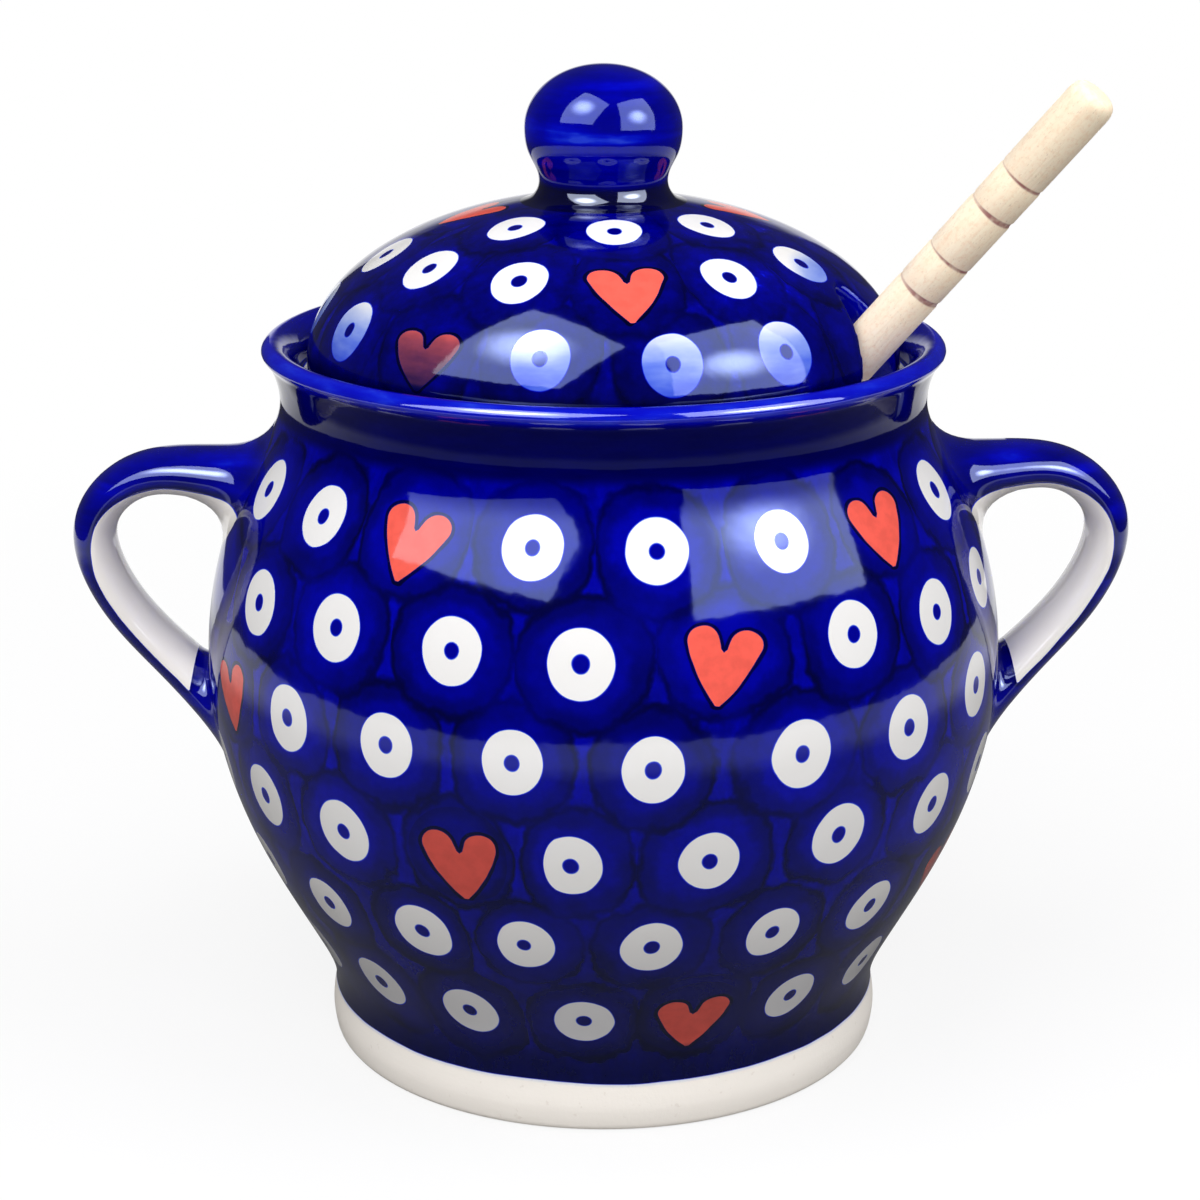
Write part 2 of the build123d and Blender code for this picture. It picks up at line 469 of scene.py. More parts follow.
class Board(Graph):
    """The node graph of one finish."""

    def __init__(self, name: str) -> None:
        """Starts a material with one Principled surface.

        Args:
            name: the material's name.
        """
        self.material = bpy.data.materials.new(name)
        super().__init__(self.material)
        self.surface = self.node("BsdfPrincipled")
        self.show(Wire(self, self.surface.outputs[0]))

    def tint(
        self, share: Number, first: "Wire | Colour", last: "Wire | Colour", blend: str = "MIX"
    ) -> Wire:
        """Colour between two others, or blended another way.

        Args:
            share: how much of the last colour there is, 0 to 1.
            first: the colour at 0.
            last: the colour at 1.
            blend: how the two are blended.

        Returns:
            The colour.
        """
        node = self.node("Mix", data_type="RGBA", blend_type=blend)
        for index, value in ((0, share), (6, first), (7, last)):
            self.feed(node.inputs[index], value)
        return Wire(self, node.outputs[2])

    def carried(self, name: str, vector: bool = False) -> Wire:
        """What the mesh carries under a name."""
        node = self.node("Attribute", attribute_name=name)
        return Wire(self, node.outputs["Vector" if vector else "Fac"])

    def vector(self, x: Number, y: Number, z: Number) -> Wire:
        """A vector of three numbers."""
        return Wire(self, self.node("CombineXYZ", x, y, z).outputs[0])

    def noise(self, where: Wire, scale: float, detail: float = 2.0, rough: float = 0.5) -> Wire:
        """Soft noise, 0.5 on average.

        Args:
            where: the vector it is read at.
            scale: waves per unit of that vector.
            detail: octaves.
            rough: share of the finer octaves.

        Returns:
            The noise.
        """
        node = self.node("TexNoise", where)
        for name, value in (("Scale", scale), ("Detail", detail), ("Roughness", rough)):
            node.inputs[name].default_value = value
        return Wire(self, node.outputs["Fac"])

    def luck(self, x: Number, y: Number) -> tuple[Wire, Wire, Wire]:
        """Three random numbers that belong to a pair of whole numbers."""
        node = self.node("TexWhiteNoise", self.vector(x, y, 0.5), noise_dimensions="3D")
        return self.parts(Wire(self, node.outputs["Color"]))

    def swerve(self, share: Wire, knots: list[tuple[float, float]], reach: float) -> Wire:
        """A number that runs straight from knot to knot.

        Args:
            share: how far round, 0 to 1.
            knots: places, from 0 to 1, each with the number there.
            reach: the largest number, up or down.

        Returns:
            The number.
        """
        node = self.node("FloatCurve")
        points = node.mapping.curves[0].points
        for point, (at, number) in zip(points, (knots[0], knots[-1])):
            point.location = (at, 0.5 + number / reach / 2)
        for at, number in knots[1:-1]:
            points.new(at, 0.5 + number / reach / 2)
        for point in points:
            point.handle_type = "VECTOR"
        node.mapping.update()
        self.feed(node.inputs["Value"], share)
        return (Wire(self, node.outputs[0]) - 0.5) * (2 * reach)

    def bump(self, height: Wire, distance: float, strength: float) -> Wire:
        """A normal bent by a height.

        Args:
            height: the height.
            distance: how many metres a height of 1 stands for.
            strength: how much of it shows, 0 to 1.

        Returns:
            The normal.
        """
        node = self.node("Bump")
        node.inputs["Strength"].default_value = strength
        node.inputs["Distance"].default_value = distance
        self.feed(node.inputs["Height"], height)
        return Wire(self, node.outputs["Normal"])

    def dress(self, **sockets: "Number | Colour") -> bpy.types.Material:
        """Feeds the surface's sockets.

        Args:
            sockets: what each is fed, under its name with _ for a space.

        Returns:
            The finished material.
        """
        for name, value in sockets.items():
            self.feed(self.surface.inputs[name.replace("_", " ")], value)
        return self.material


@dataclass(frozen=True)
class StampRow:
    """One ring of stamped marks.

    Attributes:
        arc: its height along the outline.
        count: marks in the ring.
        turn: azimuth of mark 0, in degrees.
        first: first heart.
        every: marks from one heart to the next.
        size: size of its marks, 1 for full.
        heart: width and height of its hearts, 1 for full.
        low: how far its hearts sit below the dots' line.
        skip: marks left out.
        nudges: marks set a little out of step, each with the distance.
    """

    arc: float
    count: int
    turn: float
    first: int
    every: int
    size: float = 1.0
    heart: tuple[float, float] = (1.04, 0.96)
    low: float = 1.8
    skip: tuple[int, ...] = ()
    nudges: tuple[tuple[int, float], ...] = ()

    def knots(self) -> list[tuple[float, float]]:
        """Spreads the nudges round the ring.

        Returns:
            Places round the ring, from 0 to 1, each with the distance of the nudge there.
        """
        steps = dict(self.nudges)
        knots = {0.0: steps.get(0, 0.0), 1.0: steps.get(0, 0.0)}
        for mark in range(self.count + 1):
            if steps.keys() & {(mark - 1) % self.count, mark % self.count, (mark + 1) % self.count}:
                for at in (mark - 0.27, mark + 0.27):
                    if 0 < at < self.count:
                        knots[at / self.count] = steps.get(mark % self.count, 0.0)
        return sorted(knots.items())


@dataclass(frozen=True)
class CobaltGlaze:
    """Cobalt slip of uneven thickness under a clear glossy glaze.

    Attributes:
        clay: white of the fired clay under clear glaze.
        absorb: how fast cobalt takes red, green and blue away per unit of thickness.
        shine: specular level of the glaze over white and red.
        sheen: specular level over thick cobalt.
        mirror: colour of reflections over thick cobalt.
        gloss: roughness, and how much it varies.
        ripple: height of the waves in its surface in metres, and how strongly they show.
    """

    clay: Colour = (0.90, 0.868, 0.815)
    absorb: Colour = (3.5, 2.6, 0.27)
    shine: float = 0.38
    sheen: float = 0.58
    mirror: Colour = (0.50, 0.60, 1.0)
    gloss: tuple[float, float] = (0.045, 0.03)
    ripple: tuple[float, float] = (0.0006, 0.16)

    def colour(self, board: Board, paint: "Wire | Colour", cobalt: Wire) -> Wire:
        """Colour seen through a thickness of cobalt.

        Args:
            board: the finish's graph.
            paint: colour under the cobalt.
            cobalt: its thickness.

        Returns:
            The colour.
        """
        lets_by = board.vector(*(board.math("EXPONENT", cobalt * -rate) for rate in self.absorb))
        return board.tint(1.0, paint, lets_by, "MULTIPLY")

    def skin(
        self, board: Board, cobalt: Wire, wet: Number = 0.0, dull: Number = 0.0
    ) -> dict[str, Wire]:
        """Specular level and tint of the glaze.

        Args:
            board: the finish's graph.
            cobalt: thickness of the cobalt under it.
            wet: 1 where the glaze is thick and clear, and its reflections are bright and white.
            dull: 1 where its reflections are turned down: on the jar's neck band, and as painted
                shade under the knob's ball.

        Returns:
            The surface's sockets, with a wire for each.
        """
        deep = board.ramp(cobalt, 0.6, 2.2)
        level = board.between(wet, board.between(deep, self.shine, self.sheen), 1.0)
        tint = board.tint(deep, (1.0, 1.0, 1.0), self.mirror)
        return {
            "Specular_IOR_Level": board.between(dull, level, 0.16),
            "Specular_Tint": board.tint(wet, tint, (0.86, 0.90, 1.0)),
        }

    def rough(self, board: Board, place: Wire) -> Wire:
        """Roughness of the glaze."""
        least, more = self.gloss
        return least + board.noise(place, 200.0, 2.0) * more

    def waves(self, board: Board, place: Wire) -> Wire:
        """Height of the slow waves and fine pits of the fired glaze, 0 to about 1."""
        return board.noise(place, 95.0, 1.5) + board.noise(place, 420.0, 1.0) * 0.16

    def normal(self, board: Board, height: Wire) -> Wire:
        """The surface's normal, bent by a height."""
        return board.bump(height, *self.ripple)


@dataclass(frozen=True)
class Biscuit:
    """Bare fired clay.

    Attributes:
        colour: its colour.
        dark: share of that colour that its darker clouds keep.
    """

    colour: Colour
    dark: float = 0.93

    def clouds(self, board: Board, place: Wire) -> Wire:
        """Where its darker clouds lie, 0 to 1."""
        return board.noise(place, 60.0, 4.0, 0.6)

    def paint(self, board: Board, clouds: Wire) -> Wire:
        """Its colour."""
        return board.tint(clouds, self.colour, tuple(share * self.dark for share in self.colour))


@dataclass(frozen=True)
class StampedGlaze:
    """Cobalt ground sponged in overlapping scales, with a stamped dot or a painted heart on each.

    Attributes:
        rows: the rings of marks, from the top down.
        glaze: the glaze over them.
        dot: half width and half height of a dot.
        pupil: radius of its blue centre.
        scale_radius: radius of the scale round each mark.
        heart: colour of the hearts.
        wander: how far marks stray from their places.
        own: how far out a mark's own paint may lie.
        depth: thickness of the cobalt between the scales.
        patchy: how much its patches vary it.
        streaky: how much its streaks vary it.
        ragged: how far the outlines of the scales stray.
        scale_depth: thickness of the cobalt on the scales.
        rims: how much thicker it gets towards a scale's rim, and once more on the rim.
        uneven: how much the scales differ in size and thickness.
        blotch: strength of the light and dark blotches over everything.
    """

    rows: tuple[StampRow, ...]
    glaze: CobaltGlaze = CobaltGlaze()
    dot: tuple[float, float] = (4.45, 4.85)
    pupil: float = 1.02
    scale_radius: float = 9.3
    heart: Colour = (0.86, 0.115, 0.085)
    wander: float = 1.3
    own: float = 7.6
    depth: float = 4.1
    patchy: float = 5.0
    streaky: float = 4.0
    ragged: float = 5.0
    scale_depth: float = 4.3
    rims: tuple[float, float] = (2.2, 3.2)
    uneven: float = 1.2
    blotch: float = 2.4

    def heart_distance(self, board: Board, x: Wire, y: Wire) -> Wire:
        """Distance outside a heart's outline.

        Args:
            board: the finish's graph.
            x: distance across from the heart's middle.
            y: distance up from it.

        Returns:
            Millimetres outside, negative inside.
        """
        lobe, tip = (2.95, 3.3), (0.12, -5.3)
        lobe_r, tip_r, belly = 2.25, 0.4, 0.5
        run = (tip[0] - lobe[0], tip[1] - lobe[1])
        long_squared = run[0] ** 2 + run[1] ** 2
        half = board.math("ABSOLUTE", x)
        from_x = half - lobe[0]
        from_y = y - lobe[1]
        share = board.math(
            "MINIMUM",
            board.math("MAXIMUM", (from_x * run[0] + from_y * run[1]) * (1 / long_squared), 0.0),
            1.0,
        )
        off = board.length(from_x - share * run[0], from_y - share * run[1])
        side = off - lobe_r - share * (tip_r - lobe_r) - share * (1.0 - share) * (4 * belly)
        column = board.math("MAXIMUM", half - 1.5, y * -1.0 - 2.0)
        under_cleft = board.math("MAXIMUM", (y - half - 2.2) * math.sqrt(0.5), column)
        return board.math("MINIMUM", side, under_cleft)

    def ground(self, board: Board, arc: Wire, place: Wire) -> tuple[Wire, Wire, Wire, Wire]:
        """Lays the scales and finds the mark that each point belongs to.

        Args:
            board: the finish's graph.
            arc: height along the outline.
            place: place on the object.

        Returns:
            Thickness of the ground, and across, up and heart share of the nearest mark.
        """
        x, y, z = board.parts(place)
        azimuth = board.math("ARCTAN2", y, x)
        radius = board.length(x, y) * (1 / MM)
        ragged = (board.noise(place, 170.0, 3.0, 0.62) - 0.5) * self.ragged
        patches = board.noise(place, 130.0, 3.0, 0.6)
        streaks = board.noise(board.vector(x, y, z * 0.35), 620.0, 3.0, 0.6)
        cobalt = self.depth + (patches - 0.5) * self.patchy + (streaks - 0.5) * self.streaky
        soft = board.ramp(board.noise(place, 75.0, 2.0), 0.36, 0.60, 0.45, 1.25)
        across, up, heart, near = 0.0, 0.0, 0.0, 0.0
        for number, row in reversed(list(enumerate(self.rows))):
            turns = (azimuth - math.radians(row.turn)) * (row.count / math.tau)
            if row.nudges:
                share = board.math("FLOORED_MODULO", turns, float(row.count)) * (1 / row.count)
                off_step = board.swerve(share, row.knots(), 4.0)
                turns = turns - off_step * (row.count / math.tau) / radius
            index = board.math("FLOOR", turns + 0.5)
            cell = board.math("FLOORED_MODULO", index, float(row.count))
            luck = board.luck(cell, float(number + 1))
            stray = board.luck(cell, float(number + 31))
            mark_x = (turns - index) * (math.tau / row.count) * radius
            mark_x = mark_x + (luck[0] - 0.5) * self.wander
            mark_y = arc - row.arc + (luck[1] - 0.5) * self.wander
            border = board.ramp(board.math("ABSOLUTE", turns - index), 0.40, 0.5)
            off = board.length(mark_x, mark_y * 1.04) + ragged + border
            off = off + (stray[1] - 0.5) * self.uneven
            edge = self.scale_radius * (0.5 + 0.5 * row.size)
            shoulder = board.ramp(off, edge - 3.8, edge - 1.6) * self.rims[0]
            rim = shoulder + board.ramp(off, edge - 1.2, edge) * self.rims[1]
            scale = self.scale_depth + rim * soft + (stray[2] - 0.5) * self.uneven
            cobalt = board.between(board.ramp(off, edge + 0.9, edge - 0.3), cobalt, scale)
            reach = board.length(mark_x, mark_y)
            mine = board.math("LESS_THAN", reach, self.own)
            for mark in row.skip:
                mine = mine * (1.0 - board.math("COMPARE", cell, float(mark), 0.5))
            step = board.math("FLOORED_MODULO", cell, float(row.every))
            is_heart = board.math("COMPARE", step, row.first, 0.5)
            grown = row.size * (0.96 + stray[0] * 0.08)
            lean = (luck[2] - 0.5) * 0.44
            wide = board.between(is_heart, 1.0, row.heart[0])
            tall = board.between(is_heart, 1.0, row.heart[1])
            across = across + (mark_x + mark_y * lean) / (grown * wide) * mine
            up = up + (mark_y - mark_x * lean + is_heart * row.low) / (grown * tall) * mine
            near = near + mine
            heart = heart + is_heart * mine
        brush = board.noise(place, 420.0, 4.0, 0.65) + board.noise(place, 160.0, 3.0, 0.6) - 1.0
        return cobalt + brush * self.blotch, across + (1.0 - near) * 20.0, up, heart

    def marks(
        self, board: Board, place: Wire, cobalt: Wire, across: Wire, up: Wire, heart: Wire
    ) -> tuple[Wire, Wire]:
        """Stamps the dots and paints the hearts.

        Args:
            board: the finish's graph.
            place: place on the object.
            cobalt: thickness of the ground.
            across: distance across from the nearest mark.
            up: distance up from it.
            heart: 1 where that mark is a heart.

        Returns:
            The paint under the cobalt, and the cobalt's thickness.
        """
        wobble = board.noise(place, 200.0, 1.5) - 0.5
        ring = board.length(across / self.dot[0], up / self.dot[1]) + wobble * 0.10
        dot = board.ramp(ring, 1.04, 0.96) * (1.0 - heart)
        off_middle = board.length(across, up * 0.9) + wobble * 0.7
        pupil = board.ramp(off_middle, self.pupil + 0.22, self.pupil - 0.25)
        heart_off = self.heart_distance(board, across, up) + wobble * 0.6
        red = board.ramp(heart_off, 0.05, -0.12) * heart
        shaky = (board.noise(place, 260.0, 1.0) - 0.5) * 0.6
        line = board.ramp(heart_off + shaky, 0.58, 0.36) * heart
        streak = board.noise(place, 520.0, 3.0)
        deeper = tuple(share * 0.86 for share in self.heart)
        coral = board.tint(board.ramp(streak, 0.3, 0.7), self.heart, deeper)
        cream = board.tint(board.noise(place, 130.0, 2.0), self.glaze.clay, (0.86, 0.82, 0.75))
        paint = board.tint(red, cream, coral)
        outline = board.math("MAXIMUM", line - red, 0.0)
        paint = board.tint(outline * 0.85, paint, (0.02, 0.008, 0.008))
        cobalt = board.between(dot, cobalt, board.between(pupil, 0.03, 4.2))
        cobalt = board.between(red, cobalt, 0.0)
        return paint, cobalt


@dataclass(frozen=True)
class PaintedShade:
    """Painted shade: marks drawn darker towards the foot.

    Attributes:
        start: height along the outline where they start to darken.
        end: height where they are darkest.
        share: how dark they get, 0 to 1.
        colour: what they darken towards.
    """

    start: float
    end: float
    share: float
    colour: Colour


@dataclass(frozen=True)
class JarFinish:
    """The jar: bare foot, stamped belly, dark neck, bright lip and cream inside.

    Attributes:
        stamped: the stamped ground.
        foot_line: height of the glaze's edge above the floor.
        neck: where the plain neck band starts along the outline.
        lip: where the lip's roll starts.
        crest: top of the lip.
        mouth: where the blue ends inside the mouth.
        neck_depth: thickness of the cobalt on the neck.
        lip_depth: thickness on the lip's bead, where it has run thin.
        mouth_depth: thickness inside the mouth.
        clear: thickness of what cobalt there is in clear glaze.
        pool: how much thicker the glaze has run together just above the foot.
        low: painted shade: how much cobalt is added to the ground over the lower belly to darken
            it.
        low_shade_from: where that painted shade starts and ends.
        dots: painted shade that darkens the dots towards the foot.
        hearts: painted shade that darkens the hearts towards the foot.
        bare: the unglazed foot.
        speck: colour of the iron specks in it.
    """

    stamped: StampedGlaze
    foot_line: float = 7.7
    neck: float = 106.0
    lip: float = 112.0
    crest: float = 117.0
    mouth: float = 124.0
    neck_depth: float = 9.0
    lip_depth: float = 1.9
    mouth_depth: float = 4.6
    clear: float = 0.02
    pool: float = 3.0
    low: float = 3.0
    low_shade_from: tuple[float, float] = (60.0, 16.0)
    dots: PaintedShade = PaintedShade(46.0, 16.0, 0.44, (0.42, 0.41, 0.43))
    hearts: PaintedShade = PaintedShade(74.0, 56.0, 0.36, (0.10, 0.015, 0.02))
    bare: Biscuit = Biscuit((1.0, 0.945, 0.88))
    speck: Colour = (0.45, 0.34, 0.25)

    def above_belly(self, board: Board, arc: Wire, wavy: Wire, cobalt: Wire, bead: Wire) -> Wire:
        """Thickness of the cobalt with the neck, the lip and the inside laid on.

        Args:
            board: the finish's graph.
            arc: height along the outline.
            wavy: the same height, a little uneven.
            cobalt: thickness on the stamped belly.
            bead: 1 on the lip's bead.

        Returns:
            The thickness.
        """
        x, y, z = board.parts(board.place())
        streaks = board.noise(board.vector(x * 0.25, y * 0.25, z), 700.0, 3.0) - 0.5
        neck = self.neck_depth + streaks * 3.5
        cobalt = board.between(board.ramp(wavy, self.neck - 2.0, self.neck), cobalt, neck)
        cobalt = board.between(bead, cobalt, self.lip_depth + streaks * 3.0)
        inner = board.ramp(arc, self.crest, self.crest + 1.5)
        cobalt = board.between(inner, cobalt, self.mouth_depth + streaks * 2.0)
        return board.between(board.ramp(wavy, self.mouth, self.mouth + 0.5), cobalt, self.clear)

    def material(self) -> bpy.types.Material:
        """Builds the finish.

        Returns:
            The jar's material.
        """
        board = Board("jar_glaze")
        glaze = self.stamped.glaze
        place, arc = board.place(), board.carried("arc")
        wavy = arc + (board.noise(place, 55.0, 2.0) - 0.5) * 1.1
        ground, across, up, heart = self.stamped.ground(board, arc, place)
        paint, cobalt = self.stamped.marks(board, place, ground, across, up, heart)
        past_crest = board.ramp(arc, self.crest - 0.4, self.crest + 1.8)
        bead = board.ramp(arc, self.lip + 0.4, self.lip + 2.2) * (1.0 - past_crest)
        cobalt = self.above_belly(board, arc, wavy, cobalt, bead)
        bare = board.ramp(wavy, self.foot_line + 0.12, self.foot_line - 0.12)
        fringe = board.ramp(wavy, self.foot_line - 0.7, self.foot_line) * bare
        pooled = board.ramp(wavy, self.foot_line + 7.0, self.foot_line + 1.0) * self.pool
        # Painted shade: extra cobalt darkens the ground over the lower belly.
        low = board.ramp(arc, *self.low_shade_from) * board.ramp(cobalt, 1.5, 2.5) * self.low
        cobalt = board.between(bare, cobalt + pooled + low, fringe * 0.1)
        # Painted shade: the dots and hearts are drawn darker towards the foot.
        for painted_shade, which in ((self.dots, 1.0 - heart), (self.hearts, heart)):
            share = board.ramp(arc, painted_shade.start, painted_shade.end) * which * painted_shade.share
            paint = board.tint(share, paint, painted_shade.colour)
        clouds = self.bare.clouds(board, place)
        specks = board.ramp(board.noise(place, 900.0, 2.0), 0.66, 0.74) * 0.15
        biscuit = board.tint(specks, self.bare.paint(board, clouds), self.speck)
        x, y, z = board.parts(place)
        rings = board.noise(board.vector(x * 0.1, y * 0.1, z), 900.0)
        grit = board.noise(place, 1500.0, 3.0, 0.7) * 0.5 + rings * 0.5
        rounded = board.ramp(wavy, self.foot_line, self.foot_line + 0.8) * 0.35
        height = board.between(bare, glaze.waves(board, place) + rounded, grit * 0.6)
        past_neck = board.ramp(arc, self.lip + 0.6, self.lip + 1.6)
        dull = board.ramp(arc, self.neck - 7.0, self.neck - 3.0) * (1.0 - past_neck)
        return board.dress(
            Base_Color=glaze.colour(board, board.tint(bare, paint, biscuit), cobalt),
            Roughness=board.between(bare, glaze.rough(board, place), 0.62 + clouds * 0.15),
            Normal=glaze.normal(board, height),
            **glaze.skin(board, cobalt, bead * 0.95, dull),
        )


@dataclass(frozen=True)
class LidFinish:
    """The lid: stamped dome washed with blue towards its edge, bare seat and cream hollow.

    Attributes:
        stamped: the stamped ground.
        wash: where the blue wash over the marks starts and ends along the outline.
        by_notch: where it starts and ends near the notch.
        notch_share: its strength there, 1 for full.
        wash_depth: its thickness.
        edge: where the dark line at the dome's edge starts and ends.
        edge_depth: its thickness.
        ground_depth: how much thicker the ground is than the jar's.
        cut_depth: thickness of the cobalt along the notch's edge, where it has run thin.
        seat: where the glaze ends at the edge of the seat.
        hollow: where the hollow's clear glaze starts.
        clear: thickness of what cobalt there is in clear glaze.
        bare: the unglazed seat and flange.
    """

    stamped: StampedGlaze
    wash: tuple[float, float] = (14.2, 3.5)
    by_notch: tuple[float, float] = (8.8, 3.5)
    notch_share: float = 0.62
    wash_depth: float = 0.72
    edge: tuple[float, float] = (3.6, 1.2)
    edge_depth: float = 4.6
    ground_depth: float = 1.9
    cut_depth: float = 2.6
    seat: float = -2.2
    hollow: float = -13.5
    clear: float = 0.02
    bare: Biscuit = Biscuit((0.88, 0.80, 0.69))

    def material(self) -> bpy.types.Material:
        """Builds the finish.

        Returns:
            The lid's material.
        """
        board = Board("lid_glaze")
        glaze = self.stamped.glaze
        place, arc, cut = board.place(), board.carried("arc"), board.carried("cut")
        wavy = arc + (board.noise(place, 60.0, 2.0) - 0.5) * 1.0
        ground, across, up, heart = self.stamped.ground(board, arc, place)
        paint, cobalt = self.stamped.marks(board, place, ground, across, up, heart)
        x, y, z = board.parts(place)
        streaks = board.noise(board.vector(x * 0.3, y * 0.3, z), 620.0, 3.0)
        by_notch = board.ramp(cut, *self.by_notch) * self.notch_share
        washed = board.math("MAXIMUM", board.ramp(wavy, *self.wash), by_notch)
        wash = washed * self.wash_depth * (0.5 + streaks)
        edge = board.ramp(wavy, *self.edge) * self.edge_depth
        cobalt = cobalt + wash + edge + board.ramp(cobalt, 1.5, 2.5) * self.ground_depth
        cobalt = board.between(board.ramp(cut, 0.75, 0.1) * 0.8, cobalt, self.cut_depth)
        bare = board.ramp(wavy, self.seat + 0.15, self.seat - 0.15)
        cobalt = board.between(bare * board.ramp(cut, 0.1, 0.9), cobalt, self.clear)
        naked = bare * (1.0 - board.ramp(arc, self.hollow + 0.5, self.hollow - 0.5))
        biscuit = self.bare.paint(board, self.bare.clouds(board, place))
        return board.dress(
            Base_Color=glaze.colour(board, board.tint(naked, paint, biscuit), cobalt),
            Roughness=board.between(naked, glaze.rough(board, place), 0.7),
            Normal=glaze.normal(board, glaze.waves(board, place)),
            **glaze.skin(board, cobalt),
        )


@dataclass(frozen=True)
class BrushedFinish:
    """Plain cobalt laid on with a brush, worn to white where a piece carries a "white" layer.

    Attributes:
        name: the material's name.
        depth: thickness of the cobalt.
        swing: how much the brush varies it.
        squash: stretch of the brush strokes across the upright axis.
        two_tone: whether the piece has a white side.
        pool: height below which the glaze has run together, in metres, or 0 for nowhere.
        wet: how white and bright its reflections are, 0 to 1.
        glaze: the glaze over it.
    """

    name: str
    depth: float = 4.6
    swing: float = 4.0
    squash: float = 0.22
    two_tone: bool = False
    pool: float = 0.0
    wet: float = 0.0
    glaze: CobaltGlaze = CobaltGlaze()

    def material(self) -> bpy.types.Material:
        """Builds the finish.

        Returns:
            The material, under the finish's own name.
        """
        board = Board(self.name)
        place = board.place()
        x, y, z = board.parts(place)
        streaks = board.noise(board.vector(x * self.squash, y * self.squash, z), 480.0, 4.0, 0.6)
        patches = board.noise(place, 120.0, 3.0)
        stretched = board.vector(x * self.squash * 0.5, y * self.squash * 0.5, z)
        dragged = board.noise(stretched, 260.0, 2.0)
        cobalt = self.depth + (streaks - 0.5) * self.swing + (patches - 0.5) * self.swing
        cobalt = cobalt - board.ramp(dragged, 0.52, 0.68) * self.swing * 0.4
        cobalt = board.math("MAXIMUM", cobalt, 1.2)
        paint = board.tint(board.noise(place, 90.0, 3.0), (0.97, 0.915, 0.82), (0.93, 0.86, 0.75))
        pooled = board.ramp(z, self.pool + 0.0012, self.pool - 0.0004)
        cobalt = cobalt + pooled * 8.0
        wet = self.wet + pooled * (1.0 - self.wet)
        # Painted shade: reflections turned down on the underside of the knob's ball, just above the
        # pool.
        underside_shade_dull = board.ramp(z, self.pool + 0.0052, self.pool + 0.0030) * (1.0 - pooled) * 0.7
        if self.two_tone:
            side = board.carried("white") + (board.noise(place, 110.0, 3.0) - 0.5) * 0.22
            thick_edge = board.ramp(side, -0.30, -0.04) * 2.5
            cobalt = board.between(board.ramp(side, -0.04, 0.04), cobalt + thick_edge, 0.03)
        return board.dress(
            Base_Color=self.glaze.colour(board, paint, cobalt),
            Roughness=self.glaze.rough(board, place),
            Normal=self.glaze.normal(board, self.glaze.waves(board, place)),
            **self.glaze.skin(board, cobalt, wet, underside_shade_dull),
        )


@dataclass(frozen=True)
class BeechFinish:
    """Turned raw beech with fine grain, short rays and burnt rings; the rings are drawn wider and
    darker on the stick's shaded underside, as painted shade.

    Attributes:
        pale: colour of the sapwood.
        warm: colour of its darker grain.
        mottled: colour of its short flecks.
        burnt: colour of the burnt rings.
        rings: distance of each ring from the head's end, and its width.
    """

    rings: tuple[tuple[float, float], ...]
    pale: Colour = (1.0, 0.87, 0.66)
    warm: Colour = (0.95, 0.70, 0.48)
    mottled: Colour = (0.88, 0.61, 0.39)
    burnt: Colour = (0.25, 0.06, 0.07)

    def material(self) -> bpy.types.Material:
        """Builds the finish from the piece's turned coordinates.

        Returns:
            The dipper's material.
        """
        board = Board("beech")
        turned = board.carried("turned", vector=True)
        x, y, z = board.parts(turned)
        fibre = board.noise(board.vector(x, y, z * 0.045), 2.4, 4.0, 0.65)
        broad = board.noise(board.vector(x, y * 0.6, z * 0.02), 0.55, 2.0)
        deeper = board.ramp(fibre, 0.35, 0.75) * 0.3 + board.ramp(broad, 0.3, 0.8) * 0.35
        colour = board.tint(deeper, self.pale, self.warm)
        mottle = board.noise(board.vector(x, y, z * 0.8), 1.5, 4.0, 0.7)
        colour = board.tint(board.ramp(mottle, 0.46, 0.72) * 0.55, colour, self.mottled)
        rays = board.ramp(board.noise(board.vector(x, y, z * 0.35), 5.2, 1.0), 0.66, 0.72)
        colour = board.tint(rays * 0.3, colour, (0.52, 0.33, 0.20))
        scorch = 0.0
        for from_end, width in self.rings:
            off = board.math("ABSOLUTE", z - from_end)
            # Painted shade: each ring is drawn wider on the stick's shaded underside.
            half = board.ramp(x, 3.2, -2.6, width * 0.22, width * 0.62)
            scorch = board.math("MAXIMUM", scorch, board.ramp(off - half, 0.16, -0.12))
        patches = board.ramp(board.noise(turned, 0.6, 2.0), 0.3, 0.55, 0.6, 1.0)
        # Painted shade: the burn is drawn darker on the underside and fainter on the lit upper
        # side.
        patchy = board.ramp(x, 3.4, -1.0, 0.35, 0.9) * patches
        colour = board.tint(scorch * patchy, colour, self.burnt)
        return board.dress(
            Base_Color=colour,
            Roughness=0.52 + fibre * 0.2,
            Specular_IOR_Level=0.35,
            Normal=board.bump(fibre + rays * -0.3, 0.0004, 0.25),
        )


# ---------------------------------------------------------------- pieces


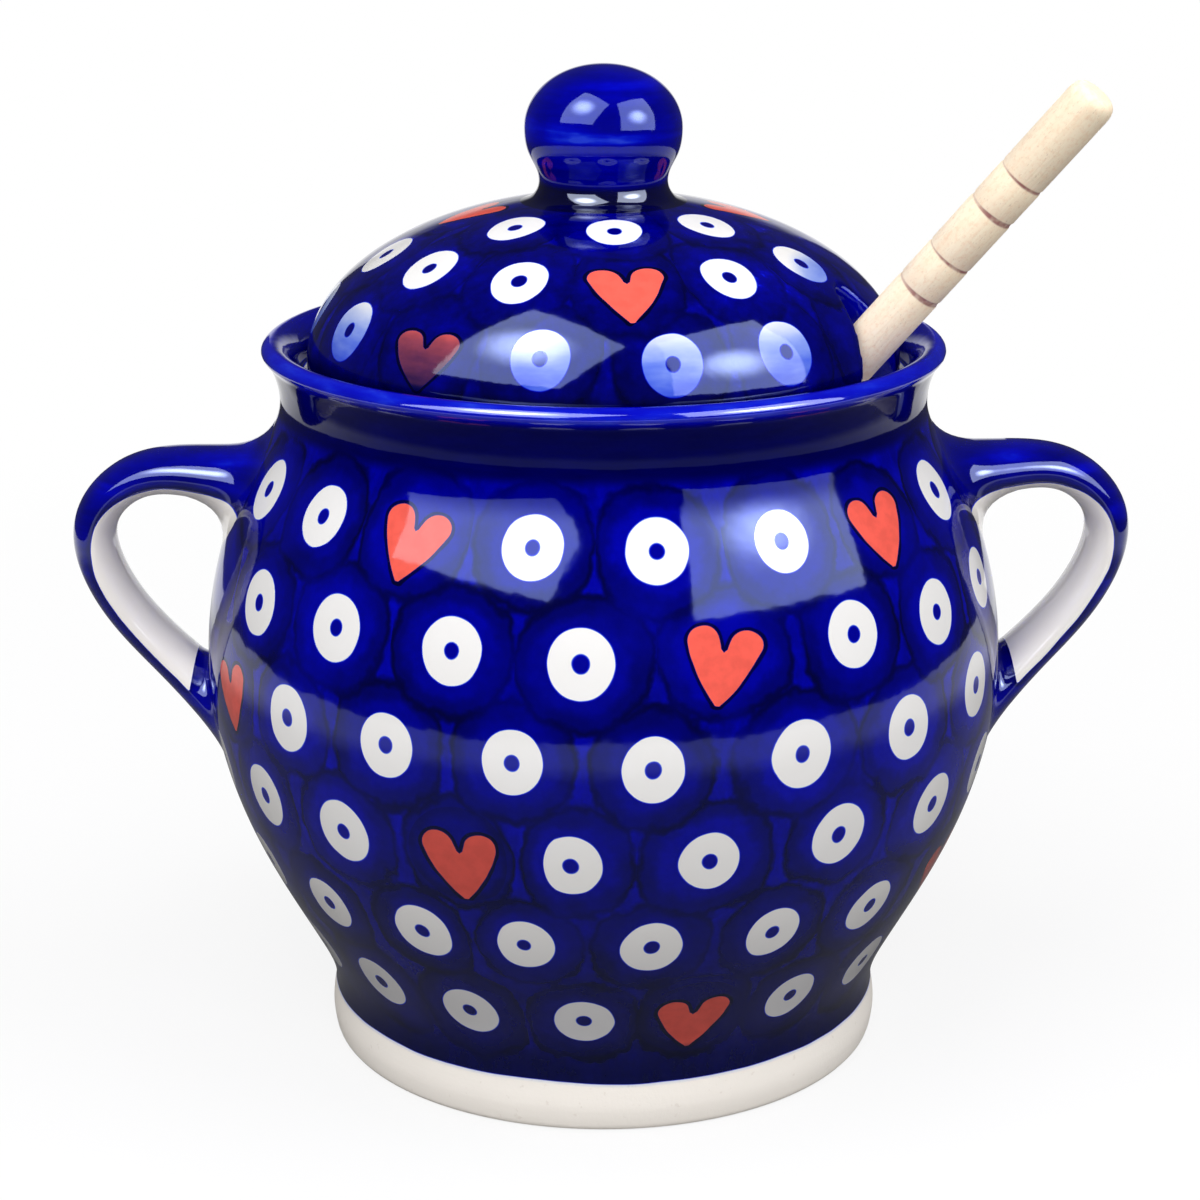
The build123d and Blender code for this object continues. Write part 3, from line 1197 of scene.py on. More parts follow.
@dataclass
class Jar:
    """The thrown pot. Its lines are points of radius and height.

    Attributes:
        foot_r: radius of the foot.
        foot_h: height of the foot's band.
        foot_edge: rounding of its lower edge.
        bulge: how far its band stands out, each with the height.
        recess_r: radius of the recess under it.
        recess_h: depth of the recess.
        recess_slope: width of the recess's sloping side.
        side: the outer side, from the foot's top up to the lip.
        lip: the rolled lip, from the outside over to the inside.
        ledge: the ledge that the lid sits on, down into the throat.
        inside: the inner side, from the throat to the middle of the floor.
        steps: wedges of the turn.
    """

    foot_r: float = 42.5
    foot_h: float = 8.0
    foot_edge: float = 0.9
    bulge: tuple[tuple[float, float], ...] = ((0.45, 2.2), (0.55, 4.2), (0.1, 7.0))
    recess_r: float = 36.0
    recess_h: float = 1.8
    recess_slope: float = 1.2
    side: tuple[tuple[float, float], ...] = (
        (42.5, 8.0),
        (46.1, 18.5),
        (54.6, 35.0),
        (60.2, 57.0),
        (57.9, 78.0),
        (52.4, 91.0),
        (48.3, 100.5),
        (49.7, 106.7),
    )
    lip: tuple[tuple[float, float], ...] = (
        (49.7, 106.7),
        (50.8, 108.3),
        (49.3, 109.7),
        (47.4, 109.0),
        (46.0, 107.1),
        (45.4, 104.9),
    )
    ledge: tuple[tuple[float, float], ...] = (
        (45.4, 104.9),
        (45.4, 104.5),
        (40.5, 104.5),
        (40.5, 100.5),
    )
    inside: tuple[tuple[float, float], ...] = (
        (40.5, 100.5),
        (46.6, 90.0),
        (52.4, 77.0),
        (54.7, 57.0),
        (49.2, 36.0),
        (40.4, 18.5),
        (28.0, 8.8),
        (0.0, 8.2),
    )
    steps: int = 256

    def outer(self) -> np.ndarray:
        """Radius and height of the outer side, from the foot's top to the lip."""
        return smooth_line(list(self.side), 0.85, (0, 1), (0.5, 1))

    def outline(self) -> tuple[np.ndarray, np.ndarray]:
        """The whole turned outline.

        Returns:
            Its points, and the distance walked along it from the foot's outer bottom edge.
        """
        slope = self.recess_r - self.recess_slope
        base = [(0, self.recess_h), (slope, self.recess_h), (self.recess_r, 0), (self.foot_r, 0)]
        bulge = [(self.foot_r + out, height) for out, height in self.bulge]
        corners = base + bulge + [(self.foot_r, self.foot_h)]
        foot = eased(corners, [0.5, 0.5, self.foot_edge, 1.0, 1.4, 0.6])
        lip = smooth_line(list(self.lip), 0.4, (0.5, 1), (-0.1, -1))
        ledge = eased(list(self.ledge), [0.3, 0.5])
        inside = smooth_line(list(self.inside), 2.2, (0, -1), (-1, 0))
        line = joined(foot, self.outer(), lip, ledge, inside)
        arc = walked(line)
        at_foot = np.argmax(line[:, 1] >= self.foot_h - 1e-6)
        return line, arc - arc[at_foot] + self.foot_h

    def build(self, finish: bpy.types.Material) -> bpy.types.Object:
        """Throws the jar and dresses it."""
        shape = turn_on_wheel(*self.outline(), self.steps)
        return place_piece("stamped_jar", shape, finish, Body.POT, "pot_body")


@dataclass
class StrapHandle:
    """A pulled strap, luted to the jar at both ends.

    Attributes:
        jar: the jar it stands on.
        side: -1 for the left and 1 for the right.
        run: distance out and height of its middle line, from the upper root to the lower one.
        ovals: places from 0 to 1 along it, each with the width and thickness of its section.
        blue_from: such places, each with the sine of the angle round it where its blue side starts.
        blue_root: how far from the jar the lower root is blue all round.
        around: points round it.
        rings: rings of points between its roots.
        smears: how far its clay is smeared over the jar at the upper and the lower root.
        sag: how much further it is smeared under the upper arm, as a share.
        smear_rings: rings of points in each smear.
    """

    jar: Jar
    side: int
    run: tuple[tuple[float, float], ...] = (
        (47.5, 86.8),
        (60.0, 88.9),
        (70.6, 88.2),
        (76.6, 82.0),
        (75.2, 72.2),
        (66.2, 60.2),
        (53.0, 46.5),
    )
    ovals: tuple[tuple[float, float, float], ...] = (
        (0.00, 20.0, 13.0),
        (0.12, 16.0, 9.0),
        (0.26, 13.0, 6.7),
        (0.45, 12.5, 6.4),
        (0.64, 12.6, 6.3),
        (0.80, 15.0, 6.5),
        (0.91, 20.0, 7.6),
        (1.00, 26.0, 9.0),
    )
    blue_from: tuple[tuple[float, float], ...] = (
        (0.00, -0.35),
        (0.12, -0.40),
        (0.30, -0.45),
        (0.42, -0.10),
        (0.52, 0.14),
        (0.74, 0.14),
        (0.81, 0.10),
        (0.835, -0.2),
        (0.855, -1.3),
        (1.00, -1.4),
    )
    blue_root: float = 1.4
    around: int = 48
    rings: int = 90
    smears: tuple[float, float] = (4.4, 2.6)
    sag: float = 0.75
    smear_rings: int = 8

    def skin(self, station: np.ndarray, angle: np.ndarray) -> np.ndarray:
        """Points on the strap before it is luted on.

        Args:
            station: where along the strap, 0 to 1.
            angle: where round it, 0 at the back edge and a quarter turn at the outer crest.

        Returns:
            The points, in millimetres.
        """
        line = smooth_line([(self.side * x, 0.0, z) for x, z in self.run], 0.25)
        share = np.linspace(0, 1, len(line))
        spine = np.column_stack([np.interp(station, share, line[:, i]) for i in range(3)])
        ways = np.gradient(line, axis=0)
        way = np.column_stack([np.interp(station, share, ways[:, i]) for i in range(3)])
        way /= np.linalg.norm(way, axis=1)[:, None]
        table = smooth_line([(100 * at, width, thick) for at, width, thick in self.ovals], 1.0)
        width, thick = (np.interp(100 * station, table[:, 0], table[:, i]) for i in (1, 2))
        sideways = np.array((0.0, 1.0, 0.0))
        out = self.side * np.cross(way, sideways)
        return (
            spine
            + sideways * (width / 2 * np.cos(angle))[:, None]
            + out * (thick / 2 * np.sin(angle))[:, None]
        )

    def above_jar(self, points: np.ndarray) -> np.ndarray:
        """Distance of points from the jar's outer side.

        Args:
            points: the points, in millimetres.

        Returns:
            One distance per point, negative inside the jar.
        """
        side = self.jar.outer()
        radius = np.hypot(points[:, 0], points[:, 1])
        slope = np.interp(points[:, 2], side[:, 1], np.gradient(side[:, 0], side[:, 1]))
        return (radius - np.interp(points[:, 2], side[:, 1], side[:, 0])) / np.hypot(1, slope)

    def on_jar(self, points: np.ndarray, proud: float) -> np.ndarray:
        """Moves points straight out or in to the jar's side.

        Args:
            points: the points, in millimetres.
            proud: how far out of the side they stand in the end.

        Returns:
            The moved points.
        """
        side = self.jar.outer()
        radius = np.hypot(points[:, 0], points[:, 1])
        wanted = np.interp(points[:, 2], side[:, 1], side[:, 0]) + proud
        moved = points.copy()
        moved[:, :2] *= (wanted / radius)[:, None]
        return moved

    def meets_jar(
        self, angle: np.ndarray, outside: float, inside: float, clear: float
    ) -> np.ndarray:
        """Stations where the strap's skin stands a distance clear of the jar.

        Args:
            angle: where round the strap.
            outside: a station out in the open.
            inside: a station inside the jar's wall.
            clear: the distance.

        Returns:
            One station per angle.
        """
        far, near = np.full(len(angle), outside), np.full(len(angle), inside)
        for _ in range(30):
            middle = (far + near) / 2
            is_clear = self.above_jar(self.skin(middle, angle)) > clear
            far, near = np.where(is_clear, middle, far), np.where(is_clear, near, middle)
        return (far + near) / 2

    def root(
        self, angle: np.ndarray, outside: float, inside: float, smear: np.ndarray
    ) -> tuple[np.ndarray, list[np.ndarray]]:
        """Smears one end of the strap onto the jar.

        Args:
            angle: where round the strap.
            outside: a station out in the open.
            inside: a station inside the jar's wall.
            smear: how far the clay is smeared out at each angle.

        Returns:
            Stations where the plain strap starts, and the rings from the jar's side up to there.
        """
        touch = self.skin(self.meets_jar(angle, outside, inside, 0.0), angle)
        station = self.meets_jar(angle, outside, inside, smear)
        top = self.skin(station, angle)
        away = touch - touch.mean(axis=0)
        away /= np.linalg.norm(away, axis=1)[:, None]
        skirt = self.on_jar(touch + away * smear[:, None], -0.04)
        rings = [self.on_jar(touch + away * (smear[:, None] + 0.6), -0.8)]
        for t in np.linspace(0, 1, self.smear_rings, endpoint=False):
            rings.append((1 - t) ** 2 * skirt + 2 * t * (1 - t) * touch + t * t * top)
        return station, rings

    def whiteness(self, ring: np.ndarray, station: np.ndarray, angle: np.ndarray) -> np.ndarray:
        """Tells the white side of the strap from the blue one.

        Args:
            ring: points round the strap.
            station: where along the strap each lies.
            angle: where round it each lies.

        Returns:
            A number for each point, above 0 where it is white.
        """
        white_below = np.interp(station, *np.array(self.blue_from).T)
        if station.mean() > 0.5:
            fade = (self.blue_root, self.blue_root + 3.0)
            by_jar = np.interp(self.above_jar(ring), fade, (-1.5, 1.0))
            white_below = np.minimum(white_below, by_jar)
        return white_below - np.sin(angle)

    def build(self, finish: bpy.types.Material) -> bpy.types.Object:
        """Pulls the strap, smears its ends and dresses it.

        Args:
            finish: its material.

        Returns:
            The piece.
        """
        angle = np.linspace(0, math.tau, self.around, endpoint=False)
        sagging = 1 + self.sag * np.clip(-np.sin(angle), 0, 1) ** 2
        upper, upper_rings = self.root(angle, 0.35, 0.0, self.smears[0] * sagging)
        lower, lower_rings = self.root(angle, 0.65, 1.0, np.full(self.around, self.smears[1]))
        plain = [upper + (lower - upper) * share for share in np.linspace(0, 1, self.rings)]
        stations = [upper] * len(upper_rings) + plain + [lower] * len(lower_rings)
        places = upper_rings + [self.skin(station, angle) for station in plain] + lower_rings[::-1]
        bm = bmesh.new()
        layer = bm.verts.layers.float.new("white")
        ring = bmesh.ops.create_circle(bm, segments=self.around, radius=MM)["verts"]
        edges = list(bm.edges)
        caps = [list(ring)]
        for number, (place, station) in enumerate(zip(places, stations)):
            if number:
                made = bmesh.ops.extrude_edge_only(bm, edges=edges)["geom"]
                fresh = {item for item in made if isinstance(item, bmesh.types.BMVert)}
                lines = [item for item in made if isinstance(item, bmesh.types.BMEdge)]
                edges = [line for line in lines if set(line.verts) <= fresh]
                ring = [
                    next(e.other_vert(v) for e in v.link_edges if e.other_vert(v) in fresh)
                    for v in ring
                ]
            for vert, spot, white in zip(ring, place, self.whiteness(place, station, angle)):
                vert.co = Vector(spot) * MM
                vert[layer] = white
        caps.append(list(ring))
        for cap in caps:
            bm.faces.new(cap)
        bmesh.ops.recalc_face_normals(bm, faces=bm.faces)
        name = "left" if self.side < 0 else "right"
        piece, node = f"strap_handle_{name}", f"handle_{name}"
        return place_piece(piece, bm, finish, Body.POT, node)


@dataclass
class Leaning:
    """The line that the dipper leans along.

    Attributes:
        lean: its angle from upright, in degrees.
        turn: azimuth that it leans towards, in degrees.
        tip: distance out and height of its lower end.
    """

    lean: float = 40.35
    turn: float = -26.0
    tip: tuple[float, float] = (-37.53, 18.55)

    def outward(self) -> Vector:
        """Level direction that the stick leans towards."""
        turn = math.radians(self.turn)
        return Vector((math.cos(turn), math.sin(turn), 0))

    def along(self) -> Vector:
        """Direction of the stick."""
        lean = math.radians(self.lean)
        return self.outward() * math.sin(lean) + Vector((0, 0, math.cos(lean)))

    def upward(self) -> Vector:
        """Square to the stick, up and inwards."""
        lean = math.radians(self.lean)
        return self.outward() * -math.cos(lean) + Vector((0, 0, math.sin(lean)))

    def start(self) -> Vector:
        """The stick's lower end, in millimetres."""
        return self.outward() * self.tip[0] + Vector((0, 0, self.tip[1]))

    def frame(self, x: Vector, height: float) -> Matrix:
        """Placing matrix in metres, with z along the stick.

        Args:
            x: direction of the x axis.
            height: distance from the lower end, in millimetres.

        Returns:
            The matrix.
        """
        z = self.along()
        y = z.cross(x)
        place = Matrix((x, y, z)).transposed().to_4x4()
        place.translation = (self.start() + z * height) * MM
        return place


@dataclass
class DomeLid:
    """The thrown lid, with its notch for the stick.

    Attributes:
        leaning: the stick's line.
        lid_r: radius of the dome.
        seat_z: height of the seat.
        dome_z: height where the dome starts.
        dome_rise: rise of the dome.
        shell_rise: rise of the hollow under it.
        flange_r: outer radius of the flange.
        flange_in_r: inner radius of the flange.
        flange_bottom: height of the flange's lower edge.
        edge: rounding of the edges.
        notch_top: how far the notch reaches above the stick's line.
        notch_flare: angle of the notch's sides to its middle, in degrees.
        notch_round: radius of its rounded top.
        notch_depth: how far the wedge that cuts it reaches below the stick's line.
        notch_mid: height of the wedge's middle above the seat.
        notch_reach: half the wedge's length.
        steps: wedges of the turn.
        voxel: grid that the cut lid is remeshed on.
        outline_steps: places on the outline that the remeshed points are compared with.
        cut_band: distances from the notch where points start to follow the outline, and do wholly.
        skin_gap: how near to the outline the points that follow it lie.
        wall_off: how near to the notch's outline the points of its wall lie.
        wall_gap: how far from the turned outline they lie.
        soft_edge: width of the notch's softened edge.
        soft_passes: how often it is smoothed.
        far_off: distance written on points far from the notch.
    """

    leaning: Leaning
    lid_r: float = 44.1
    seat_z: float = 104.6
    dome_z: float = 106.5
    dome_rise: float = 24.0
    shell_rise: float = 19.4
    flange_r: float = 39.4
    flange_in_r: float = 36.2
    flange_bottom: float = 98.0
    edge: float = 0.7
    notch_top: float = 11.6
    notch_flare: float = 24.3
    notch_round: float = 2.0
    notch_depth: float = 13.0
    notch_mid: float = 8.0
    notch_reach: float = 16.0
    steps: int = 224
    voxel: float = 0.56
    outline_steps: int = 6000
    cut_band: tuple[float, float] = (0.35, 0.85)
    skin_gap: float = 1.0
    wall_off: float = 0.4
    wall_gap: float = 0.45
    soft_edge: float = 0.95
    soft_passes: int = 5
    far_off: float = 9.0

    def outline(self) -> tuple[np.ndarray, np.ndarray]:
        """The turned outline.

        Returns:
            Its points, and the distance up the dome from its widest circle, negative below it.
        """
        dome = quarter_dome(self.lid_r, self.dome_rise, self.dome_z, 60)[::-1]
        rim = [
            (self.lid_r, self.dome_z),
            (self.lid_r, self.seat_z),
            (self.flange_r, self.seat_z),
            (self.flange_r, self.flange_bottom),
            (self.flange_in_r, self.flange_bottom),
            (self.flange_in_r, self.dome_z),
        ]
        hollow = quarter_dome(self.flange_in_r, self.shell_rise, self.dome_z, 40)
        line = joined(dome, eased(rim, [self.edge, 0.4, self.edge, self.edge]), hollow)
        arc = walked(line)
        return line, arc[len(dome) - 1] - arc

    def notch_frame(self) -> Matrix:
        """Placing matrix of the notch.

        Returns:
            The matrix, with x across the notch, y up and inwards, and z along the stick.
        """
        rise = self.seat_z - 0.1 + self.notch_mid - self.leaning.tip[1]
        height = rise / math.cos(math.radians(self.leaning.lean))
        return self.leaning.frame(self.leaning.upward().cross(self.leaning.along()), height)

    def cutter(self) -> bpy.types.Object:
        """Shapes the wedge with a rounded top that cuts the notch.

        Returns:
            The wedge, in place.
        """
        flare = math.radians(self.notch_flare)
        reach = math.tan(flare) * (self.notch_top + self.notch_depth)
        bm = bmesh.new()
        corners = [(-reach, -self.notch_depth), (reach, -self.notch_depth), (0, self.notch_top)]
        low = -self.notch_reach * MM
        face = bm.faces.new([bm.verts.new((x * MM, y * MM, low)) for x, y in corners])
        raised = bmesh.ops.extrude_face_region(bm, geom=[face])["geom"]
        moved = [item for item in raised if isinstance(item, bmesh.types.BMVert)]
        bmesh.ops.translate(bm, verts=moved, vec=(0, 0, 2 * self.notch_reach * MM))
        top = [e for e in bm.edges if all(v.co.y > (self.notch_top - 0.1) * MM for v in e.verts)]
        bmesh.ops.bevel(
            bm,
            geom=top,
            offset=self.notch_round / math.tan(flare) * MM,
            segments=12,
            profile=0.5,
            affect="EDGES",
            material=-1,
        )
        bmesh.ops.recalc_face_normals(bm, faces=bm.faces)
        bmesh.ops.transform(bm, matrix=self.notch_frame(), verts=bm.verts)
        return put("notch_wedge", mesh_of(bm, "notch_wedge"))

    def off_notch(self, points: np.ndarray) -> tuple[np.ndarray, np.ndarray]:
        """Distance of points from the notch's outline.

        Args:
            points: places in metres, one per row.

        Returns:
            Distances in millimetres, negative in the notch, and the directions away from it.
        """
        back = np.array(self.notch_frame().inverted())
        local = (points @ back[:3, :3].T + back[:3, 3]) / MM
        flare = math.radians(self.notch_flare)
        low = self.notch_top - self.notch_round / math.sin(flare)
        u, v = np.abs(local[:, 0]), local[:, 1] - low
        beside = u * math.sin(flare) - v * math.cos(flare) >= 0
        corner = np.hypot(u, v) + 1e-9
        off = np.where(beside, u * math.cos(flare) + v * math.sin(flare), corner) - self.notch_round
        off = np.where(local[:, 2] < -self.notch_reach, self.far_off, off)
        way = np.column_stack(
            (
                np.where(beside, math.cos(flare), u / corner) * np.sign(local[:, 0]),
                np.where(beside, math.sin(flare), v / corner),
                np.zeros(len(u)),
            )
        )
        return off, way @ np.linalg.inv(back[:3, :3]).T

    def on_outline(self, flat: np.ndarray) -> tuple[np.ndarray, np.ndarray]:
        """Finds the nearest place on the turned outline to each point.

        Args:
            flat: radius and height of the points.

        Returns:
            Radius and height of those places, and the distance up the dome at each.
        """
        line, arc = self.outline()
        whole = np.arange(len(line))
        fine = np.linspace(0, len(line) - 1, self.outline_steps)
        dense = np.column_stack([np.interp(fine, whole, line[:, i]) for i in (0, 1)])
        way = np.gradient(dense, axis=0)
        way /= np.linalg.norm(way, axis=1)[:, None]
        tree = KDTree(len(dense))
        for number, (radius, height) in enumerate(dense):
            tree.insert((radius, height, 0), number)
        tree.balance()
        nearest = np.array([tree.find((radius, height, 0))[1] for radius, height in flat])
        slide = np.einsum("ij,ij->i", flat - dense[nearest], way[nearest])
        return dense[nearest] + way[nearest] * slide[:, None], np.interp(fine, whole, arc)[nearest]

    def soften(self, mesh: bpy.types.Mesh, off: np.ndarray) -> None:
        """Smooths the points that stand nearer to the notch than its soft edge is wide.

        Args:
            mesh: the lid.
            off: how far each point is from the notch.
        """
        bm = bmesh.new()
        bm.from_mesh(mesh)
        bm.verts.ensure_lookup_table()
        near = [bm.verts[i] for i in np.flatnonzero(off < self.soft_edge)]
        axes = {f"use_axis_{axis}": True for axis in "xyz"}
        for _ in range(self.soft_passes):
            bmesh.ops.smooth_vert(bm, verts=near, factor=0.5, **axes)
        bmesh.ops.recalc_face_normals(bm, faces=bm.faces)
        bm.to_mesh(mesh)
        bm.free()

    def settle(self, mesh: bpy.types.Mesh) -> None:
        """Moves a remeshed lid's points back onto its outline and its cut, and softens the cut.

        Args:
            mesh: the lid, cut and remeshed.
        """
        places = np.zeros(len(mesh.vertices) * 3)
        mesh.vertices.foreach_get("co", places)
        places = places.reshape(-1, 3)
        radius = np.hypot(places[:, 0], places[:, 1]) / MM
        flat = np.column_stack((radius, places[:, 2] / MM))
        goal, arc = self.on_outline(flat)
        gap = np.linalg.norm(flat - goal, axis=1)
        off, away = self.off_notch(places)
        pull = np.clip((off - self.cut_band[0]) / (self.cut_band[1] - self.cut_band[0]), 0, 1)
        pull = np.where(gap < self.skin_gap, pull, 0)[:, None]
        flat = flat * (1 - pull) + goal * pull
        places[:, :2] *= (flat[:, 0] / np.maximum(radius, 1e-6))[:, None]
        places[:, 2] = flat[:, 1] * MM
        wall = (np.abs(off) < self.wall_off) & (gap > self.wall_gap)
        places[wall] -= away[wall] * (off[wall] * MM)[:, None]
        mesh.vertices.foreach_set("co", places.ravel())
        for name, values in (("arc", arc), ("cut", np.clip(off, 0, self.far_off))):
            layer = mesh.attributes.new(name, "FLOAT", "POINT")
            layer.data.foreach_set("value", values.astype(np.float32))
        self.soften(mesh, off)

    def build(self, finish: bpy.types.Material) -> bpy.types.Object:
        """Turns the lid, cuts its notch and dresses it.

        Args:
            finish: its material.

        Returns:
            The piece.
        """
        blank = put("lid_blank", mesh_of(turn_on_wheel(*self.outline(), self.steps), "lid_blank"))
        wedge = self.cutter()
        cut = blank.modifiers.new("notch", "BOOLEAN")
        cut.operation, cut.solver, cut.object = "DIFFERENCE", "EXACT", wedge
        remesh = blank.modifiers.new("clay", "REMESH")
        remesh.mode, remesh.voxel_size = "VOXEL", self.voxel * MM
        shaped = evaluated(blank)
        drop(blank, wedge)
        self.settle(shaped)
        return place_piece("dome_lid", shaped, finish, Body.COVER, "lid")


@dataclass
class BallKnob:
    """The lid's thrown knob, smeared onto the dome at its foot.

    Attributes:
        lid: the lid it stands on.
        foot_r: radius of its smeared foot.
        neck_r: radius of its neck.
        neck_z: height of the neck.
        fillet: radius of the hollow under the neck.
        ball_r: radius of the ball.
        middle_z: height of the ball's widest circle.
        top_z: height of its top.
        squareness: 2 for an oval top, more for a squarer one.
        under_z: height of its flat underside, inside the lid's clay.
        under_r: radii of the underside, and of the edge that lies in the dome.
        steps: wedges of the turn.
    """

    lid: DomeLid
    foot_r: float = 13.2
    neck_r: float = 9.5
    neck_z: float = 132.6
    fillet: float = 3.0
    ball_r: float = 11.6
    middle_z: float = 140.2
    top_z: float = 149.4
    squareness: float = 2.04
    under_z: float = 128.2
    under_r: tuple[float, float] = (10.5, 12.4)
    steps: int = 128

    def dome_height(self, radius: float) -> float:
        """Height of the lid's dome at a radius."""
        return self.lid.dome_z + self.lid.dome_rise * math.sqrt(1 - (radius / self.lid.lid_r) ** 2)

    def build(self, finish: bpy.types.Material) -> bpy.types.Object:
        """Turns the knob and dresses it.

        Args:
            finish: its material.

        Returns:
            The piece.
        """
        start = (self.foot_r, self.dome_height(self.foot_r) - 0.06)
        slope = (-1.0, (self.dome_height(self.foot_r - 1) - self.dome_height(self.foot_r)))
        hollow = [
            (
                self.neck_r + self.fillet * (1 - math.cos(math.radians(angle))),
                self.neck_z - self.fillet * math.sin(math.radians(angle)),
            )
            for angle in (78, 60, 40, 20, 0)
        ]
        flare = [
            (self.neck_r + 0.25, self.neck_z + 1.4),
            (self.ball_r - 0.6, self.middle_z - 3.6),
            (self.ball_r, self.middle_z),
        ]
        stem = smooth_line([start] + hollow + flare, 0.3, slope, (0, 1))
        rise = self.top_z - self.middle_z
        crown = quarter_dome(self.ball_r, rise, self.middle_z, 36, self.squareness)
        inner, outer = self.under_r
        in_clay = (outer, self.dome_height(outer) - 0.9)
        under = np.array([(0, self.under_z), (inner, self.under_z), in_clay])
        line = joined(under, stem, crown)
        shape = turn_on_wheel(line, walked(line), self.steps)
        return place_piece("ball_knob", shape, finish, Body.COVER, "lid_knob")


@dataclass
class HoneyDipper:
    """The turned beech dipper.

    Attributes:
        leaning: the line it leans along.
        length: its whole length.
        stick_r: radius of the stick.
        end: rounding of the free end.
        head_r: radius that the discs would have at the head's middle.
        fins: number of discs.
        fin: thickness of a disc.
        gap: gap between discs.
        head_half: half the length of the oval that the discs fill.
        core_r: radius between the discs.
        neck: length of the taper above the head.
        fin_edge: rounding of the discs.
        rings: distance of each burnt ring from the free end, and its width.
        ring_depth: how deep the rings are burnt in.
        ringed: length of the stretch at the free end that holds the rings.
        steps: wedges of the turn.
    """

    leaning: Leaning
    length: float = 170.7
    stick_r: float = 3.5
    end: float = 2.3
    head_r: float = 12.0
    fins: int = 6
    fin: float = 2.8
    gap: float = 2.6
    head_half: float = 19.5
    core_r: float = 5.0
    neck: float = 8.0
    fin_edge: float = 0.8
    rings: tuple[tuple[float, float], ...] = ((15.5, 0.35), (21.7, 0.6), (30.7, 0.35), (37.2, 0.6))
    ring_depth: float = 0.12
    ringed: float = 42.0
    steps: int = 72

    def head_len(self) -> float:
        """Length of the ribbed head."""
        return self.fins * self.fin + (self.fins - 1) * self.gap

    def ring_places(self) -> tuple[tuple[float, float], ...]:
        """Distance of each burnt ring from the head's end, and its width."""
        return tuple((self.length - from_end, width) for from_end, width in self.rings)

    def outline(self) -> np.ndarray:
        """The whole turned outline.

        Returns:
            Radius and distance along the stick, from the head's end to the tip.
        """
        corners, eases = [(0.0, 0.0)], []
        for number in range(self.fins):
            low = number * (self.fin + self.gap)
            off_middle = low + (self.fin - self.head_len()) / 2
            radius = self.head_r * math.sqrt(1 - (off_middle / self.head_half) ** 2)
            if number:
                corners.append((self.core_r, low))
                eases.append(0.3)
            corners += [(radius, low), (radius, low + self.fin)]
            eases += [self.fin_edge, self.fin_edge]
            corners.append((self.core_r, low + self.fin))
            eases.append(0.3)
        head = self.head_len()
        waist = [
            (self.core_r, head),
            (self.core_r - 0.2, head + 1.5),
            (self.stick_r, head + self.neck),
        ]
        taper = smooth_line(waist, 0.6, (0, 1), (0, 1))
        fins = eased(corners, eases[:-1], 6)
        stick = [tuple(taper[-1])]
        plain = np.arange(head + self.neck + 3, self.length - self.ringed, 4.0)
        stick += [(self.stick_r, float(along)) for along in plain]
        for along, width in sorted(self.ring_places()):
            half, burnt_r = width / 2, self.stick_r - self.ring_depth
            stick += [(self.stick_r, along - half - 0.25), (burnt_r, along - half + 0.1)]
            stick += [(burnt_r, along + half - 0.1), (self.stick_r, along + half + 0.25)]
        tip = eased([stick[-1], (self.stick_r, self.length), (0, self.length)], self.end, 8)
        return joined(fins, taper, np.array(stick), tip)

    def build(self, finish: bpy.types.Material) -> bpy.types.Object:
        """Turns the dipper, leans it in the pot and dresses it.

        Args:
            finish: its material.

        Returns:
            The piece.
        """
        line = self.outline()
        bm = turn_on_wheel(line, walked(line), self.steps)
        layer = bm.verts.layers.float_vector.new("turned")
        for vert in bm.verts:
            vert[layer] = vert.co / MM
        place = self.leaning.frame(self.leaning.upward(), 0.0)
        bmesh.ops.transform(bm, matrix=place, verts=bm.verts)
        dipper = place_piece("honey_dipper", bm, finish, Body.DIPPER, "dipper")
        dipper.visible_glossy = False
        return dipper


# ---------------------------------------------------------------- studio


def hang_lamp(
    name: str, place: Vector, aim: Vector, size: tuple[float, float], power: float
) -> None:
    """Hangs a lamp that mirror rays don't see.

    Args:
        name: its name.
        place: where it hangs, in metres.
        aim: what it points at.
        size: its width and height.
        power: its watts.
    """
    light = bpy.data.lights.new(name, "AREA")
    light.shape = "RECTANGLE"
    light.size, light.size_y = size
    light.energy = power
    lamp = put(name, light)
    lamp.location = place
    lamp.rotation_mode = "QUATERNION"
    lamp.rotation_quaternion = (place - aim).to_track_quat("Z", "Y")
    lamp.visible_glossy = False


def unlit_graph(name: str) -> tuple[bpy.types.Material, Graph]:
    """Starts a material whose glow lights nothing.

    Args:
        name: its name.

    Returns:
        The material and its empty graph.
    """
    material = bpy.data.materials.new(name)
    material.cycles.emission_sampling = "NONE"
    return material, Graph(material)


